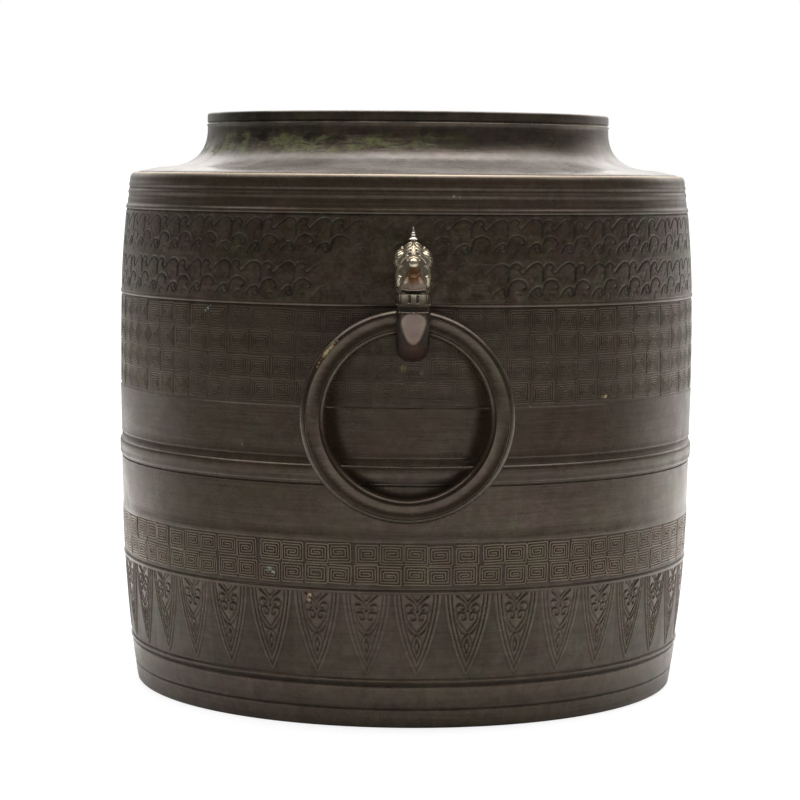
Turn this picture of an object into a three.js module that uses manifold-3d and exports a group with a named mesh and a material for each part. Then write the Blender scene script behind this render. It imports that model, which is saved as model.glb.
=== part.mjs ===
// Bronze pot with two animal-head lugs that carry loose rings.
// Millimetres, +Z up. The front lug faces -Y and the back lug faces +Y.

import * as THREE from 'three';
import { mergeVertices } from 'three/addons/utils/BufferGeometryUtils.js';
import Module from 'manifold-3d';

const wasm = await Module();
wasm.setup();

// Heights of the bands, stacked from the foot to the lip
const footBandHeight = 22.6;
const bladeBandHeight = 44.4;
const lowerFretHeight = 24.1;
const lowerPlainHeight = 27;
const ribZoneHeight = 13;
const upperPlainHeight = 24;
const upperFretHeight = 48.9;
const waveBandHeight = 43.3;
const topBandHeight = 19.7;
const shoulderRise = 1;
const neckSweepHeight = 20;
const neckUprightHeight = 8;

// Wall: a barrel that draws in towards the foot and towards the shoulder
const widestRadius = 150.1;
const widestHeight = 175;
const footDrawIn = 9.2;
const footCurvePower = 3.2;
const shoulderDrawIn = 5.6;
const shoulderCurvePower = 2.5;
const wallThickness = 3.5;
const shoulderEdgeRadius = 5;
const footChamfer = 0.8;

// Raised lines and the rib between the bands
const lineWidth = 2.4;
const lineRise = 0.3;
const coveHeight = 7;
const coveDepth = 0.6;
const ribWidth = 7;
const ribRise = 1;
const ribRecess = 0.9;
const ribStep = 0.6;

// Neck and lip
const neckRadius = 104.9;
const sweepStartRadius = 130;
const lipThickness = 5;
const lipBandHeight = 4.6;
const lipChamfer = 1;

// Base plate, set from below against a ledge inside the foot
const footRingWidth = 4;
const plateThickness = 3;
const ledgeHeight = 9;
const ledgeThickness = 3;
const ledgeWidth = 6;

// Ring: a moulded bar bent into a circle
const ringOuterDiameter = 101.5;
const ringBarWidth = 11.95;
const ringEdgeThickness = 2.8;
const ringBeadInset = 1.4;
const ringBeadThickness = 7;
const ringArrisSpacing = 6.6;
const ringThickness = 9;
const ringChannelDepth = 1;
const ringSideways = -2;

// Where the ring's bar passes through its lug
const pivotHeight = 196.6;
const pivotStandOff = 6.65;

// Lug: the trunk is a hook round the ring's bar. Each station gives the angle above the
// outward line, the thickness measured away from the bar, and the width.
const trunkStations = [
  { angle: 80, thickness: 12, width: 12.4 },
  { angle: 48, thickness: 11.6, width: 13 },
  { angle: 14, thickness: 10.6, width: 14.4 },
  { angle: -24, thickness: 10.6, width: 15.4 },
  { angle: -58, thickness: 11.8, width: 15.4 },
  { angle: -90, thickness: 12.6, width: 15.2 },
];
const collarAngles = [62, 38];
const collarSwell = 1.3;

// The flat down the front of the trunk, which leans to face a little downwards
const trunkFlatLean = 16;
const trunkFlatReach = 15.45;

// Head: each mass has its place (sideways, out from the bar, up from the bar) and half sizes
const skull = { place: [0, -4.1, 22.9], halves: [8.4, 14, 14] };
const ear = { place: [5.9, -2.4, 27.6], halves: [3.8, 5.5, 6.2] };
const muzzle = { place: [0, 4.6, 16.4], halves: [6.2, 7, 5.2] };
const brow = { place: [0, 7.4, 27.9], halves: [3, 3.2, 3] };
const eye = { place: [6.3, 4.2, 19.6], halves: [1.8, 2.4, 2.2] };

// Finial on the head, a small turned spike on a peg
const finialHeight = 6.2;
const finialFootRadius = 1.6;
const finialCollarRadius = 2.25;
const finialCollarHeight = 1.6;
const finialWaistRadius = 1.3;
const finialPegRadius = 1.1;
const finialPegLength = 4;

// Rivets and roves that hold each lug to the wall
const upperRivetLift = 22.4;
const rivetRadius = 2;
const rivetHeadRadius = 4.5;
const rivetHeadHeight = 2.4;
const rivetGrip = 6;
const roveRadius = 5.5;
const roveThickness = 1;

// Running gap between neighbouring pieces
const clearance = 0.3;

// Facets round each form
const potSegments = 56;
const ringSegments = 40;
const smallSegments = 12;
const trunkSections = 10;
const trunkFacets = 12;
const headFacets = 12;
const headRows = 8;
const passageFacets = 20;

// Heights that follow from the stack of bands
const bladeTop = footBandHeight + bladeBandHeight;
const lowerFretTop = bladeTop + lowerFretHeight;
const ribBottom = lowerFretTop + lowerPlainHeight;
const ribTop = ribBottom + ribZoneHeight;
const upperPlainTop = ribTop + upperPlainHeight;
const upperFretTop = upperPlainTop + upperFretHeight;
const waveTop = upperFretTop + waveBandHeight;
const shoulderHeight = waveTop + topBandHeight;
const sweepBottom = shoulderHeight + shoulderRise;
const sweepTop = sweepBottom + neckSweepHeight;
const potHeight = sweepTop + neckUprightHeight;

// The pot is one casting. It is given in three lengths, foot, wall and neck, parted level
// at the top of the ledge and at the inner corner of the shoulder.
const footLengthTop = ledgeHeight + ledgeThickness;
const innerCornerHeight = shoulderHeight - wallThickness - shoulderEdgeRadius;

// Ring sizes that follow from its bar
const ringHalfWidth = ringBarWidth / 2;
const ringMeanRadius = ringOuterDiameter / 2 - ringHalfWidth;
const ringInnerRadius = ringMeanRadius - ringHalfWidth;
const ringBarReach = Math.hypot(ringHalfWidth, ringEdgeThickness / 2);
const passageRadius = ringBarReach + clearance;

const pivotOut = wallRadiusAt(pivotHeight) + pivotStandOff;
const trunkFoot = trunkStations.at(-1);
const lowerRivetLift = -(passageRadius + trunkFoot.thickness / 2);

const bronze = new THREE.MeshStandardMaterial({ color: 0x4a4038, metalness: 1, roughness: 0.5 });
const brightBronze = new THREE.MeshStandardMaterial({ color: 0x8a6a40, metalness: 1, roughness: 0.35 });

// Radius of the plain wall at a height
function wallRadiusAt(z) {
  if (z < widestHeight) {
    const down = (widestHeight - z) / widestHeight;
    return widestRadius - footDrawIn * down ** footCurvePower;
  }
  const up = (z - widestHeight) / (shoulderHeight - widestHeight);
  return widestRadius - shoulderDrawIn * up ** shoulderCurvePower;
}

function point(radius, z) {
  return new THREE.Vector2(radius, z);
}

function wallPoint(z, offset = 0) {
  return point(wallRadiusAt(z) + offset, z);
}

// A line or hollow that runs round the wall
function wallLine(z, width, rise) {
  return [wallPoint(z - width / 2), wallPoint(z, rise), wallPoint(z + width / 2)];
}

// The half-round rib in its shallow recess
function ribZone() {
  const middle = (ribBottom + ribTop) / 2;
  const floor = wallRadiusAt(middle) - ribRecess;
  const rib = [];
  for (const degrees of [180, 135, 90, 45, 0]) {
    const angle = THREE.MathUtils.degToRad(degrees);
    rib.push(point(floor + ribRise * Math.sin(angle), middle + (ribWidth / 2) * Math.cos(angle)));
  }
  return [
    wallPoint(ribBottom),
    point(floor, ribBottom + ribStep),
    ...rib,
    point(floor, ribTop - ribStep),
    wallPoint(ribTop),
  ];
}

// The rounded edge where the wall turns into the shoulder
function shoulderEdge() {
  const z = shoulderHeight - shoulderEdgeRadius;
  const centre = wallRadiusAt(z) - shoulderEdgeRadius;
  const steps = 4;
  const edge = [];
  for (let i = 0; i <= steps; i += 1) {
    const angle = (i / steps) * (Math.PI / 2);
    edge.push(point(
      centre + shoulderEdgeRadius * Math.cos(angle),
      z + shoulderEdgeRadius * Math.sin(angle),
    ));
  }
  return edge;
}

// The hollow sweep between shoulder and neck, from the shoulder up
function neckSweep(inset, drop, steps) {
  const sweep = new THREE.QuadraticBezierCurve(
    point(sweepStartRadius, sweepBottom - drop),
    point(neckRadius - inset, sweepBottom - drop),
    point(neckRadius - inset, sweepTop),
  );
  return sweep.getPoints(steps);
}

function footOutline() {
  const rebateRadius = wallRadiusAt(0) - footRingWidth;
  return [
    wallPoint(0, -footChamfer),
    wallPoint(footChamfer),
    wallPoint(footLengthTop),
    point(rebateRadius - ledgeWidth, footLengthTop),
    point(rebateRadius - ledgeWidth, ledgeHeight),
    point(rebateRadius, ledgeHeight),
    point(rebateRadius, 0),
  ];
}

function wallOutline() {
  const innerStations = [
    innerCornerHeight,
    waveTop,
    rivetHeights.upper + roveRadius,
    rivetHeights.upper - roveRadius,
    rivetHeights.lower + roveRadius,
    rivetHeights.lower - roveRadius,
    ribBottom,
    bladeTop,
    footBandHeight,
    footLengthTop,
  ];
  return [
    wallPoint(footLengthTop),
    ...wallLine(footBandHeight, lineWidth, lineRise),
    wallPoint((footBandHeight + bladeTop) / 2),
    ...wallLine(bladeTop, lineWidth, lineRise),
    wallPoint(lowerFretTop),
    ...ribZone(),
    wallPoint(upperPlainTop),
    wallPoint(widestHeight),
    ...wallLine(upperFretTop, lineWidth, lineRise),
    wallPoint((upperFretTop + waveTop) / 2),
    ...wallLine(waveTop, lineWidth, lineRise),
    ...wallLine(waveTop + lineWidth / 2 + coveHeight / 2, coveHeight, -coveDepth).slice(1),
    wallPoint(innerCornerHeight),
    ...innerStations.map((z) => wallPoint(z, -wallThickness)),
  ];
}

function neckOutline() {
  const cornerRadius = wallRadiusAt(innerCornerHeight) - wallThickness;
  return [
    wallPoint(innerCornerHeight),
    ...shoulderEdge(),
    ...neckSweep(0, 0, 6),
    point(neckRadius, potHeight - lipChamfer),
    point(neckRadius - lipChamfer, potHeight),
    point(neckRadius - lipThickness, potHeight),
    point(neckRadius - lipThickness, potHeight - lipBandHeight),
    ...neckSweep(wallThickness, wallThickness, 4).reverse(),
    point(cornerRadius - shoulderEdgeRadius, shoulderHeight - wallThickness),
    point(cornerRadius, innerCornerHeight),
  ];
}

// Turns a closed outline about the Y axis
function turned(outline, segments) {
  return new THREE.LatheGeometry(outline, segments);
}

// Turns a closed outline about the upright axis
function turnedUpright(outline, segments) {
  return turned(outline, segments).rotateX(Math.PI / 2);
}

function closed(outline) {
  return [...outline, outline[0].clone()];
}

function solidFrom(geometry) {
  const plain = geometry.clone();
  plain.deleteAttribute('normal');
  plain.deleteAttribute('uv');
  const merged = mergeVertices(plain);
  const corners = [];
  const index = merged.index.array;
  for (let i = 0; i < index.length; i += 3) {
    const [a, b, c] = index.slice(i, i + 3);
    if (a !== b && b !== c && c !== a) {
      corners.push(a, b, c);
    }
  }
  return new wasm.Manifold(new wasm.Mesh({
    numProp: 3,
    vertProperties: merged.attributes.position.array,
    triVerts: new Uint32Array(corners),
  }));
}

function geometryFrom(solid) {
  const mesh = solid.getMesh();
  const geometry = new THREE.BufferGeometry();
  geometry.setAttribute('position', new THREE.BufferAttribute(mesh.vertProperties, 3));
  geometry.setIndex(new THREE.BufferAttribute(mesh.triVerts, 1));
  return geometry;
}

// A rod along Y between two distances out from the pot's axis
function rodOutwards(radius, innerOut, outerOut, z) {
  const length = outerOut - innerOut;
  const rod = new THREE.CylinderGeometry(radius, radius, length, smallSegments);
  return solidFrom(rod.translate(0, -(innerOut + outerOut) / 2, z));
}

// The same solid at the front and turned to the back
function turnedToBack(solid) {
  return solid.rotate([0, 0, 180]);
}

const rivetHeights = {
  upper: pivotHeight + upperRivetLift,
  lower: pivotHeight + lowerRivetLift,
};

function rivetHole(z) {
  const wallOut = wallRadiusAt(z);
  const innerOut = wallOut - 3 * wallThickness;
  return rodOutwards(rivetRadius + clearance, innerOut, wallOut + rivetGrip + clearance, z);
}

function potLength(outline) {
  return solidFrom(turnedUpright(closed(outline), potSegments));
}

function potWall() {
  let wall = potLength(wallOutline());
  for (const z of Object.values(rivetHeights)) {
    const hole = rivetHole(z);
    wall = wall.subtract(hole).subtract(turnedToBack(hole));
  }
  return wall;
}

function basePlate() {
  const radius = wallRadiusAt(0) - footRingWidth - clearance;
  const top = ledgeHeight - clearance;
  const bottom = top - plateThickness;
  const outline = [point(0, bottom), point(radius, bottom), point(radius, top), point(0, top)];
  return solidFrom(turnedUpright(outline, potSegments));
}

// The pot's wall, made larger by the clearance, which shapes the back of a lug
function wallCutter() {
  const bottom = ribTop;
  const top = shoulderHeight;
  const steps = 10;
  const outline = [point(0, bottom)];
  for (let i = 0; i <= steps; i += 1) {
    const z = THREE.MathUtils.lerp(bottom, top, i / steps);
    outline.push(wallPoint(z, lineRise + clearance));
  }
  outline.push(point(0, top));
  return solidFrom(turnedUpright(outline, potSegments));
}

// Closes a row of equal loops into a solid
function loft(loops) {
  const count = loops[0].length;
  const positions = loops.flat().flatMap((corner) => corner.toArray());
  const corners = [];
  for (let i = 0; i + 1 < loops.length; i += 1) {
    for (let j = 0; j < count; j += 1) {
      const next = (j + 1) % count;
      const a = i * count + j;
      const b = i * count + next;
      corners.push(a, b, b + count, a, b + count, a + count);
    }
  }
  const last = (loops.length - 1) * count;
  for (let j = 1; j + 1 < count; j += 1) {
    corners.push(0, j + 1, j);
    corners.push(last, last + j, last + j + 1);
  }
  const geometry = new THREE.BufferGeometry();
  geometry.setAttribute('position', new THREE.Float32BufferAttribute(positions, 3));
  geometry.setIndex(corners);
  return solidFrom(geometry);
}

// An oval loop across the trunk at an angle round the bar
function trunkLoop(angleDegrees, thickness, width, inward = 0) {
  const angle = THREE.MathUtils.degToRad(angleDegrees);
  const away = new THREE.Vector3(0, -Math.cos(angle), Math.sin(angle));
  const middle = new THREE.Vector3(0, inward - pivotOut, pivotHeight);
  middle.addScaledVector(away, passageRadius + thickness / 2);
  const loop = [];
  for (let j = 0; j < trunkFacets; j += 1) {
    const turn = (j / trunkFacets) * 2 * Math.PI;
    const corner = middle.clone().addScaledVector(away, (thickness / 2) * Math.sin(turn));
    corner.x = (width / 2) * Math.cos(turn);
    loop.push(corner);
  }
  return loop;
}

function trunkSizes() {
  return new THREE.CatmullRomCurve3(
    trunkStations.map((station) => new THREE.Vector3(station.angle, station.thickness, station.width)),
  );
}

function trunk() {
  const loops = trunkSizes().getPoints(trunkSections)
    .map((size) => trunkLoop(size.x, size.y, size.z));
  const inward = pivotStandOff + wallThickness;
  loops.push(trunkLoop(trunkFoot.angle, trunkFoot.thickness, trunkFoot.width, inward));
  return loft(loops);
}

// A raised band round the root of the trunk
function collar() {
  const [start, end] = collarAngles;
  const station = trunkStations[1];
  const steps = 2;
  const loops = [];
  for (let i = 0; i <= steps; i += 1) {
    const along = i / steps;
    const swell = collarSwell * Math.sin(Math.PI * along);
    loops.push(trunkLoop(
      THREE.MathUtils.lerp(start, end, along),
      station.thickness + swell,
      station.width + 2 * swell,
    ));
  }
  return loft(loops);
}

function headMass(mass, side = 1) {
  const [sideways, out, up] = mass.place;
  const ball = new THREE.SphereGeometry(1, headFacets, headRows).rotateX(Math.PI / 2);
  ball.scale(...mass.halves);
  return solidFrom(ball.translate(side * sideways, -(pivotOut + out), pivotHeight + up));
}

// The room that the ring's bar needs as it swings, open towards the wall
function ringPassage() {
  const half = skull.halves[1];
  const steps = 6;
  const outline = [point(0, -half)];
  for (let i = 0; i <= steps; i += 1) {
    const along = THREE.MathUtils.lerp(-half, half, i / steps);
    outline.push(point(passageRadius + along ** 2 / (2 * ringInnerRadius), along));
  }
  outline.push(point(0, half));
  const round = solidFrom(turned(outline, passageFacets)
    .rotateZ(-Math.PI / 2)
    .translate(ringSideways, -pivotOut, pivotHeight));
  const reach = pivotStandOff + wallThickness;
  const gap = solidFrom(new THREE.BoxGeometry(2 * half, reach, 1.7 * passageRadius)
    .translate(0, reach / 2 - pivotOut, pivotHeight));
  return round.add(gap);
}

// Cuts the flat down the front of the trunk
function flattened(solid) {
  const lean = THREE.MathUtils.degToRad(trunkFlatLean);
  const barAlong = Math.cos(lean) * pivotOut - Math.sin(lean) * pivotHeight;
  return solid.trimByPlane([0, Math.cos(lean), Math.sin(lean)], -(barAlong + trunkFlatReach));
}

const finialOut = pivotOut + skull.place[1];
const skullTop = pivotHeight + skull.place[2] + skull.halves[2];

function lug() {
  let body = headMass(skull).add(headMass(muzzle)).add(headMass(brow)).add(trunk()).add(collar());
  for (const side of [-1, 1]) {
    body = body.add(headMass(ear, side)).add(headMass(eye, side));
  }
  body = flattened(body).subtract(wallCutter()).subtract(ringPassage());
  for (const z of Object.values(rivetHeights)) {
    body = body.subtract(rivetHole(z));
  }
  const socketRadius = finialPegRadius + clearance;
  const socket = new THREE.CylinderGeometry(
    socketRadius, socketRadius, 2 * (finialPegLength + clearance), smallSegments,
  );
  socket.rotateX(Math.PI / 2).translate(0, -finialOut, skullTop);
  return body.subtract(solidFrom(socket));
}

function finial() {
  const foot = skullTop + clearance;
  const outline = [
    point(0, foot - finialPegLength),
    point(finialPegRadius, foot - finialPegLength),
    point(finialPegRadius, foot),
    point(finialFootRadius, foot),
    point(finialCollarRadius, foot + finialCollarHeight / 2),
    point(finialWaistRadius, foot + finialCollarHeight),
    point(0, foot + finialHeight),
  ];
  return solidFrom(turnedUpright(outline, smallSegments).translate(0, -finialOut, 0));
}

function ring() {
  const edge = ringEdgeThickness / 2;
  const beadOffset = ringHalfWidth - ringBeadInset;
  const bead = ringBeadThickness / 2;
  const arris = ringThickness / 2;
  const channel = arris - ringChannelDepth;
  const face = [
    [ringHalfWidth, edge],
    [beadOffset, bead],
    [ringArrisSpacing / 2, arris],
    [0, channel],
    [-ringArrisSpacing / 2, arris],
    [-beadOffset, bead],
    [-ringHalfWidth, edge],
  ];
  const otherFace = face.map(([across, thick]) => [-across, -thick]);
  const outline = closed([...face, ...otherFace]
    .map(([across, thick]) => point(ringMeanRadius + across, thick)));
  return solidFrom(turned(outline, ringSegments)
    .translate(ringSideways, -pivotOut, pivotHeight - ringMeanRadius));
}

// Distance out from the axis to the flat of a rove, which clears the inside of the wall
// at the rove's upper edge and across the wall's facets
function roveSeat(z) {
  const facetSag = roveRadius * Math.tan(Math.PI / potSegments);
  return wallRadiusAt(z + roveRadius) - wallThickness - clearance - facetSag;
}

function rove(z) {
  const outer = -roveSeat(z);
  const bore = rivetRadius + clearance;
  const outline = closed([
    point(roveRadius, outer),
    point(roveRadius, outer + roveThickness),
    point(bore, outer + roveThickness),
    point(bore, outer),
  ]);
  return solidFrom(turned(outline, smallSegments).translate(0, 0, z));
}

function rivet(z) {
  const tip = -(wallRadiusAt(z) + rivetGrip);
  const head = -roveSeat(z) + roveThickness + clearance;
  const outline = [
    point(0, tip),
    point(rivetRadius, tip),
    point(rivetRadius, head),
    point(rivetHeadRadius, head),
    point(rivetHeadRadius * Math.cos(Math.PI / 4), head + rivetHeadHeight * Math.sin(Math.PI / 4)),
    point(0, head + rivetHeadHeight),
  ];
  return solidFrom(turned(outline, smallSegments).translate(0, 0, z));
}

const pot = new THREE.Group();
pot.name = 'twin_handled_pot';

function addPiece(name, solid, material) {
  const mesh = new THREE.Mesh(geometryFrom(solid), material);
  mesh.name = name;
  pot.add(mesh);
}

function addPair(name, solid, material) {
  addPiece(`front_${name}`, solid, material);
  addPiece(`back_${name}`, turnedToBack(solid), material);
}

addPiece('pot_foot', potLength(footOutline()), bronze);
addPiece('pot_wall', potWall(), bronze);
addPiece('pot_neck', potLength(neckOutline()), bronze);
addPiece('base_plate', basePlate(), bronze);
addPair('lug', lug(), bronze);
addPair('lug_finial', finial(), brightBronze);
addPair('ring', ring(), bronze);
for (const [level, z] of Object.entries(rivetHeights)) {
  addPair(`${level}_rivet`, rivet(z), brightBronze);
  addPair(`${level}_rove`, rove(z), brightBronze);
}

export default pot;
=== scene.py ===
# Bronze pot with ring handles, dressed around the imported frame. Sizes are in millimetres
# until a mesh is made, and the front lug faces -Y.
import math

import bpy
import numpy as np
from mathutils import Matrix, Vector


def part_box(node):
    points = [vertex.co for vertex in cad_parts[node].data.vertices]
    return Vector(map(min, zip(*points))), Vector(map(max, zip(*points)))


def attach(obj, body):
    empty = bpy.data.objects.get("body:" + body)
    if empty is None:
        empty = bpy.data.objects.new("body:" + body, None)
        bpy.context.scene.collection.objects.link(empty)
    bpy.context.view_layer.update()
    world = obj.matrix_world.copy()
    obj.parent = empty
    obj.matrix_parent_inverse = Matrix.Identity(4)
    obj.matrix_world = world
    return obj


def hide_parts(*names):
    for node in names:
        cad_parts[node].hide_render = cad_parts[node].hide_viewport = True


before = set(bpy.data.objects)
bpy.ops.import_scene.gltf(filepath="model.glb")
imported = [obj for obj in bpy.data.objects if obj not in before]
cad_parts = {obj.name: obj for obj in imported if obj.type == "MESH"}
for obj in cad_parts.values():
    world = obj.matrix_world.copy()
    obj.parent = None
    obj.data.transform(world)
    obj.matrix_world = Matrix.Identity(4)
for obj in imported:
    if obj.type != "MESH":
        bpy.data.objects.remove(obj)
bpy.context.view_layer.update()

MM = 0.001

# Bands, stacked from the foot up, as in the solids
FOOT_TOP = 22.6
BLADE_TOP = 67.0
LOWER_FRET_TOP = 91.1
RIB_BOTTOM = 118.1
RIB_TOP = 131.1
UPPER_FRET_BOTTOM = 155.1
UPPER_FRET_TOP = 204.0
WAVE_TOP = 247.3
SHOULDER = 267.0
SWEEP_BOTTOM = 268.0
SWEEP_TOP = 288.0
POT_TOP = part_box("pot_neck")[1].z / MM

# Wall curve
WIDEST_RADIUS = 150.1
WIDEST_Z = 175.0
FOOT_DRAW_IN = 9.2
FOOT_POWER = 3.2
SHOULDER_DRAW_IN = 5.6
SHOULDER_POWER = 2.5
WALL = 3.5
SHOULDER_EDGE = 5.0
NECK_RADIUS = 104.9
SWEEP_RADIUS = 130.0
LIP_THICKNESS = 5.0
LIP_BAND = 5.2
EDGE_TOP = 265.2
EDGE_ROUND = 2.7
EDGE_TALL = 4.0

# Base plate and its ledge
FOOT_RING_WIDTH = 4.0
LEDGE_Z = 9.0
LEDGE_THICKNESS = 3.0
LEDGE_WIDTH = 6.0

# Relief
FRET_DEPTH = 0.40
BLADE_DEPTH = 0.66
WAVE_DEPTH = 0.32
SHEET_STEP = 0.43
PATCH_SEAT = 0.9
BEAD_HALF = 1.0
FOOT_BEAD = FOOT_TOP + 0.9
UPPER_FRET_COLUMNS = 74
LOWER_FRET_COLUMNS = 77
WAVE_UNITS = 52
WAVE_TURN = math.radians(3.8)
BLADE_UNITS = 38
BLADE_TURN = math.radians(1.4)

# Ring bar and the line that it turns about
PIVOT_Z = 196.6
PIVOT_OUT = 156.6
RING_MEAN = 44.775
RING_HALF_WIDTH = 5.975
RING_SIDEWAYS = -2.0
RING_INNER = RING_MEAN - RING_HALF_WIDTH
HEAD_Z = PIVOT_Z + 0.7
PASSAGE_RADIUS = 6.44
CLEARANCE = 0.3

# Rivets and the roves under their heads
RIVET_RADIUS = 2.0
RIVET_HEAD_RADIUS = 4.5
RIVET_HEAD_HEIGHT = 2.4
ROVE_RADIUS = 5.5
ROVE_HOLE = 2.3

FRONT_TO_BACK = Matrix.Rotation(math.pi, 4, "Z")


def smoothstep(low, high, value):
    t = np.clip((np.asarray(value, float) - low) / (high - low), 0, 1)
    return t * t * (3 - 2 * t)


def window(value, start, full, fading, end):
    """0 outside start and end, 1 between full and fading."""
    return smoothstep(start, full, value) * smoothstep(end, fading, value)


def turns(count):
    """The angles of a full turn in equal steps."""
    return np.arange(count) * 2 * math.pi / count


def from_front(theta):
    """Degrees from the front, from -180 to 180."""
    return np.degrees((theta + math.pi) % (2 * math.pi) - math.pi)


def wall_radius(z):
    """Radius of the plain wall at a height, for one height or an array."""
    z = np.asarray(z, float)
    down = np.clip((WIDEST_Z - z) / WIDEST_Z, 0, None)
    up = np.clip((z - WIDEST_Z) / (SHOULDER - WIDEST_Z), 0, None)
    return WIDEST_RADIUS - FOOT_DRAW_IN * down**FOOT_POWER - SHOULDER_DRAW_IN * up**SHOULDER_POWER


def drift(theta, z):
    """The slight unevenness of a hand-finished casting, the same for wall and relief."""
    slow = np.sin(3 * theta + z / 41) + 0.7 * np.sin(5 * theta - z / 27 + 1.3)
    quick = 0.4 * np.sin(13 * theta + z / 9 + 2.1) + 0.3 * np.sin(21 * theta - z / 6)
    return 0.06 * (slow + quick)


def on_wall(theta, z, rise):
    """Points on the wall, theta from the front towards +X, raised by rise."""
    radius = wall_radius(z) + drift(theta, z) + rise
    return np.stack([radius * np.sin(theta), -radius * np.cos(theta), np.broadcast_to(z, radius.shape)], -1)


# Meshes

def new_object(name, mesh):
    piece = bpy.data.objects.new(name, mesh)
    bpy.context.scene.collection.objects.link(piece)
    return piece


def give_values(mesh, name, values):
    """Gives each point of a mesh a value that its material reads."""
    attribute = mesh.attributes.new(name, "FLOAT", "POINT")
    attribute.data.foreach_set("value", np.asarray(values, np.float32).ravel())


def mesh_object(name, points, faces, sharp_degrees=32, lift=None):
    """A mesh object from points in millimetres and faces as lists of indices."""
    mesh = bpy.data.meshes.new(name)
    mesh.from_pydata((np.asarray(points, float) * MM).tolist(), [], faces)
    mesh.validate()
    mesh.shade_smooth()
    mesh.set_sharp_from_angle(angle=math.radians(sharp_degrees))
    if lift is not None:
        give_values(mesh, "lift", lift)
    return new_object(name, mesh)


def grid_faces(rows, columns, close_rows=False, first=0):
    """Quads of a grid of points whose rows run upwards and whose columns close into a ring."""
    faces = []
    for i in range(rows if close_rows else rows - 1):
        below = first + i * columns
        above = first + (i + 1) % rows * columns
        for j in range(columns):
            k = (j + 1) % columns
            faces.append((below + j, below + k, above + k, above + j))
    return faces


def capped_faces(rows, columns):
    """Faces of such a grid with one point below it, the first, and one above it, the last."""
    faces = grid_faces(rows, columns, first=1)
    last = 1 + rows * columns
    for j in range(columns):
        k = (j + 1) % columns
        faces += [(0, 1 + k, 1 + j), (last, last - columns + j, last - columns + k)]
    return faces


def dressed(piece, body, slot, material, *nodes):
    """Gives a piece its body and its material, and hides the nodes that it stands for. Its slot is not used."""
    piece.data.materials.clear()
    piece.data.materials.append(material)
    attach(piece, body)
    if nodes:
        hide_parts(*nodes)
    return piece


def turned_copy(piece, name):
    """The same piece on the far side of the pot."""
    mesh = piece.data.copy()
    mesh.transform(FRONT_TO_BACK)
    return new_object(name, mesh)


# The shell

def bump_line(z, half, rise):
    """A rounded raised line, as (height, distance from the wall)."""
    return [(z - half, 0), (z - 0.6 * half, 0.72 * rise), (z, rise), (z + 0.6 * half, 0.72 * rise), (z + half, 0)]


# The half-round rib between two fine scribed lines, from its own base
RIB_BASE = -0.45
RIB = [(RIB_BOTTOM - 0.45, 0), (RIB_BOTTOM - 0.2475, -0.4), (RIB_BOTTOM + 0.2475, -0.4), (RIB_BOTTOM + 0.45, 0),
       (119.2, 0), (119.5, 0.5), (120.2, 0.72), (121.5, 0.82), (123.5, 0.9), (125.6, 0.88), (126.6, 0.74),
       (127.2, 0.45), (127.6, -0.1), (128.1, -0.2), (129.9, -0.18), (130.3, -0.4), (130.7, -0.4),
       (RIB_TOP, 0.03), (RIB_TOP + 0.5, 0.08), (RIB_TOP + 1.1, 0)]
EDGE_OFFSET = -0.15


def wall_offsets():
    """(height, distance from the plain wall) of the outside, from the foot to the shoulder edge."""
    sunk = -PATCH_SEAT
    fret = -FRET_DEPTH
    return [
        (0.0, -0.9), (0.35, -0.35), (0.9, 0.0), (8.2, 0.0), (8.9, -0.1), (9.4, -0.42), (9.8, -0.38), (10.6, 0.0),
        (19.6, 0.05), (20.6, -0.15), (21.4, -0.55), (22.0, -0.5),
        *bump_line(FOOT_BEAD, 0.95, 0.45),
        (FOOT_BEAD + 1.05, sunk), (BLADE_TOP - BEAD_HALF - 0.1, sunk),
        *bump_line(BLADE_TOP, BEAD_HALF, 0.4),
        (BLADE_TOP + 1.1, -0.5), (BLADE_TOP + 2.0, fret), (LOWER_FRET_TOP - 0.5, fret),
        (LOWER_FRET_TOP - 0.1, -0.1), (LOWER_FRET_TOP + 0.4, -0.05), (94.0, RIB_BASE), (114.0, RIB_BASE),
        *((z, RIB_BASE + rise) for z, rise in RIB),
        (135.0, -0.4), (150.0, -0.15), (UPPER_FRET_BOTTOM - 0.3, 0.0), (UPPER_FRET_BOTTOM + 0.3, fret),
        (UPPER_FRET_TOP - BEAD_HALF - 0.9, fret), (UPPER_FRET_TOP - BEAD_HALF - 0.1, fret - 0.25),
        *bump_line(UPPER_FRET_TOP, BEAD_HALF, 0.28),
        (UPPER_FRET_TOP + 1.1, sunk), (WAVE_TOP - BEAD_HALF - 0.1, sunk),
        *bump_line(WAVE_TOP + 0.3, BEAD_HALF, 0.3),
        (249.2, -0.3), (250.2, -0.42), (251.2, -0.28), (251.6, -0.26), (252.4, -0.45), (253.5, -0.48),
        (254.3, -0.28), (255.2, 0.0), (255.7, 0.05), (256.4, -0.25), (257.1, -0.4), (257.7, -0.36),
        (258.3, -0.15), (259.0, 0.06), (259.5, 0.08), (260.2, -0.12),
    ]


def sunk_below(z, heights, stands):
    """How far a place lies below the ground close by on both of its sides."""
    near = np.linspace(0, 1.4, 15)
    highest = [np.interp(z + side * near, heights, stands).max() for side in (-1, 1)]
    return min(highest) - float(np.interp(z, heights, stands))


def arc(centre_radius, centre_z, across, tall, steps):
    """(radius, height) along a quarter of an ellipse, from its widest place to its end above or below."""
    angles = [math.pi / 2 * step / steps for step in range(steps + 1)]
    return [(centre_radius + across * math.cos(a), centre_z + tall * math.sin(a)) for a in angles]


def sweep(t, neck_radius):
    """(radius, height) on the neck's sweep, from the shoulder at 0 to the neck at 1."""
    return ((1 - t) ** 2 * SWEEP_RADIUS + (1 - (1 - t) ** 2) * neck_radius,
            (1 - t * t) * SWEEP_BOTTOM + t * t * SWEEP_TOP)


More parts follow.
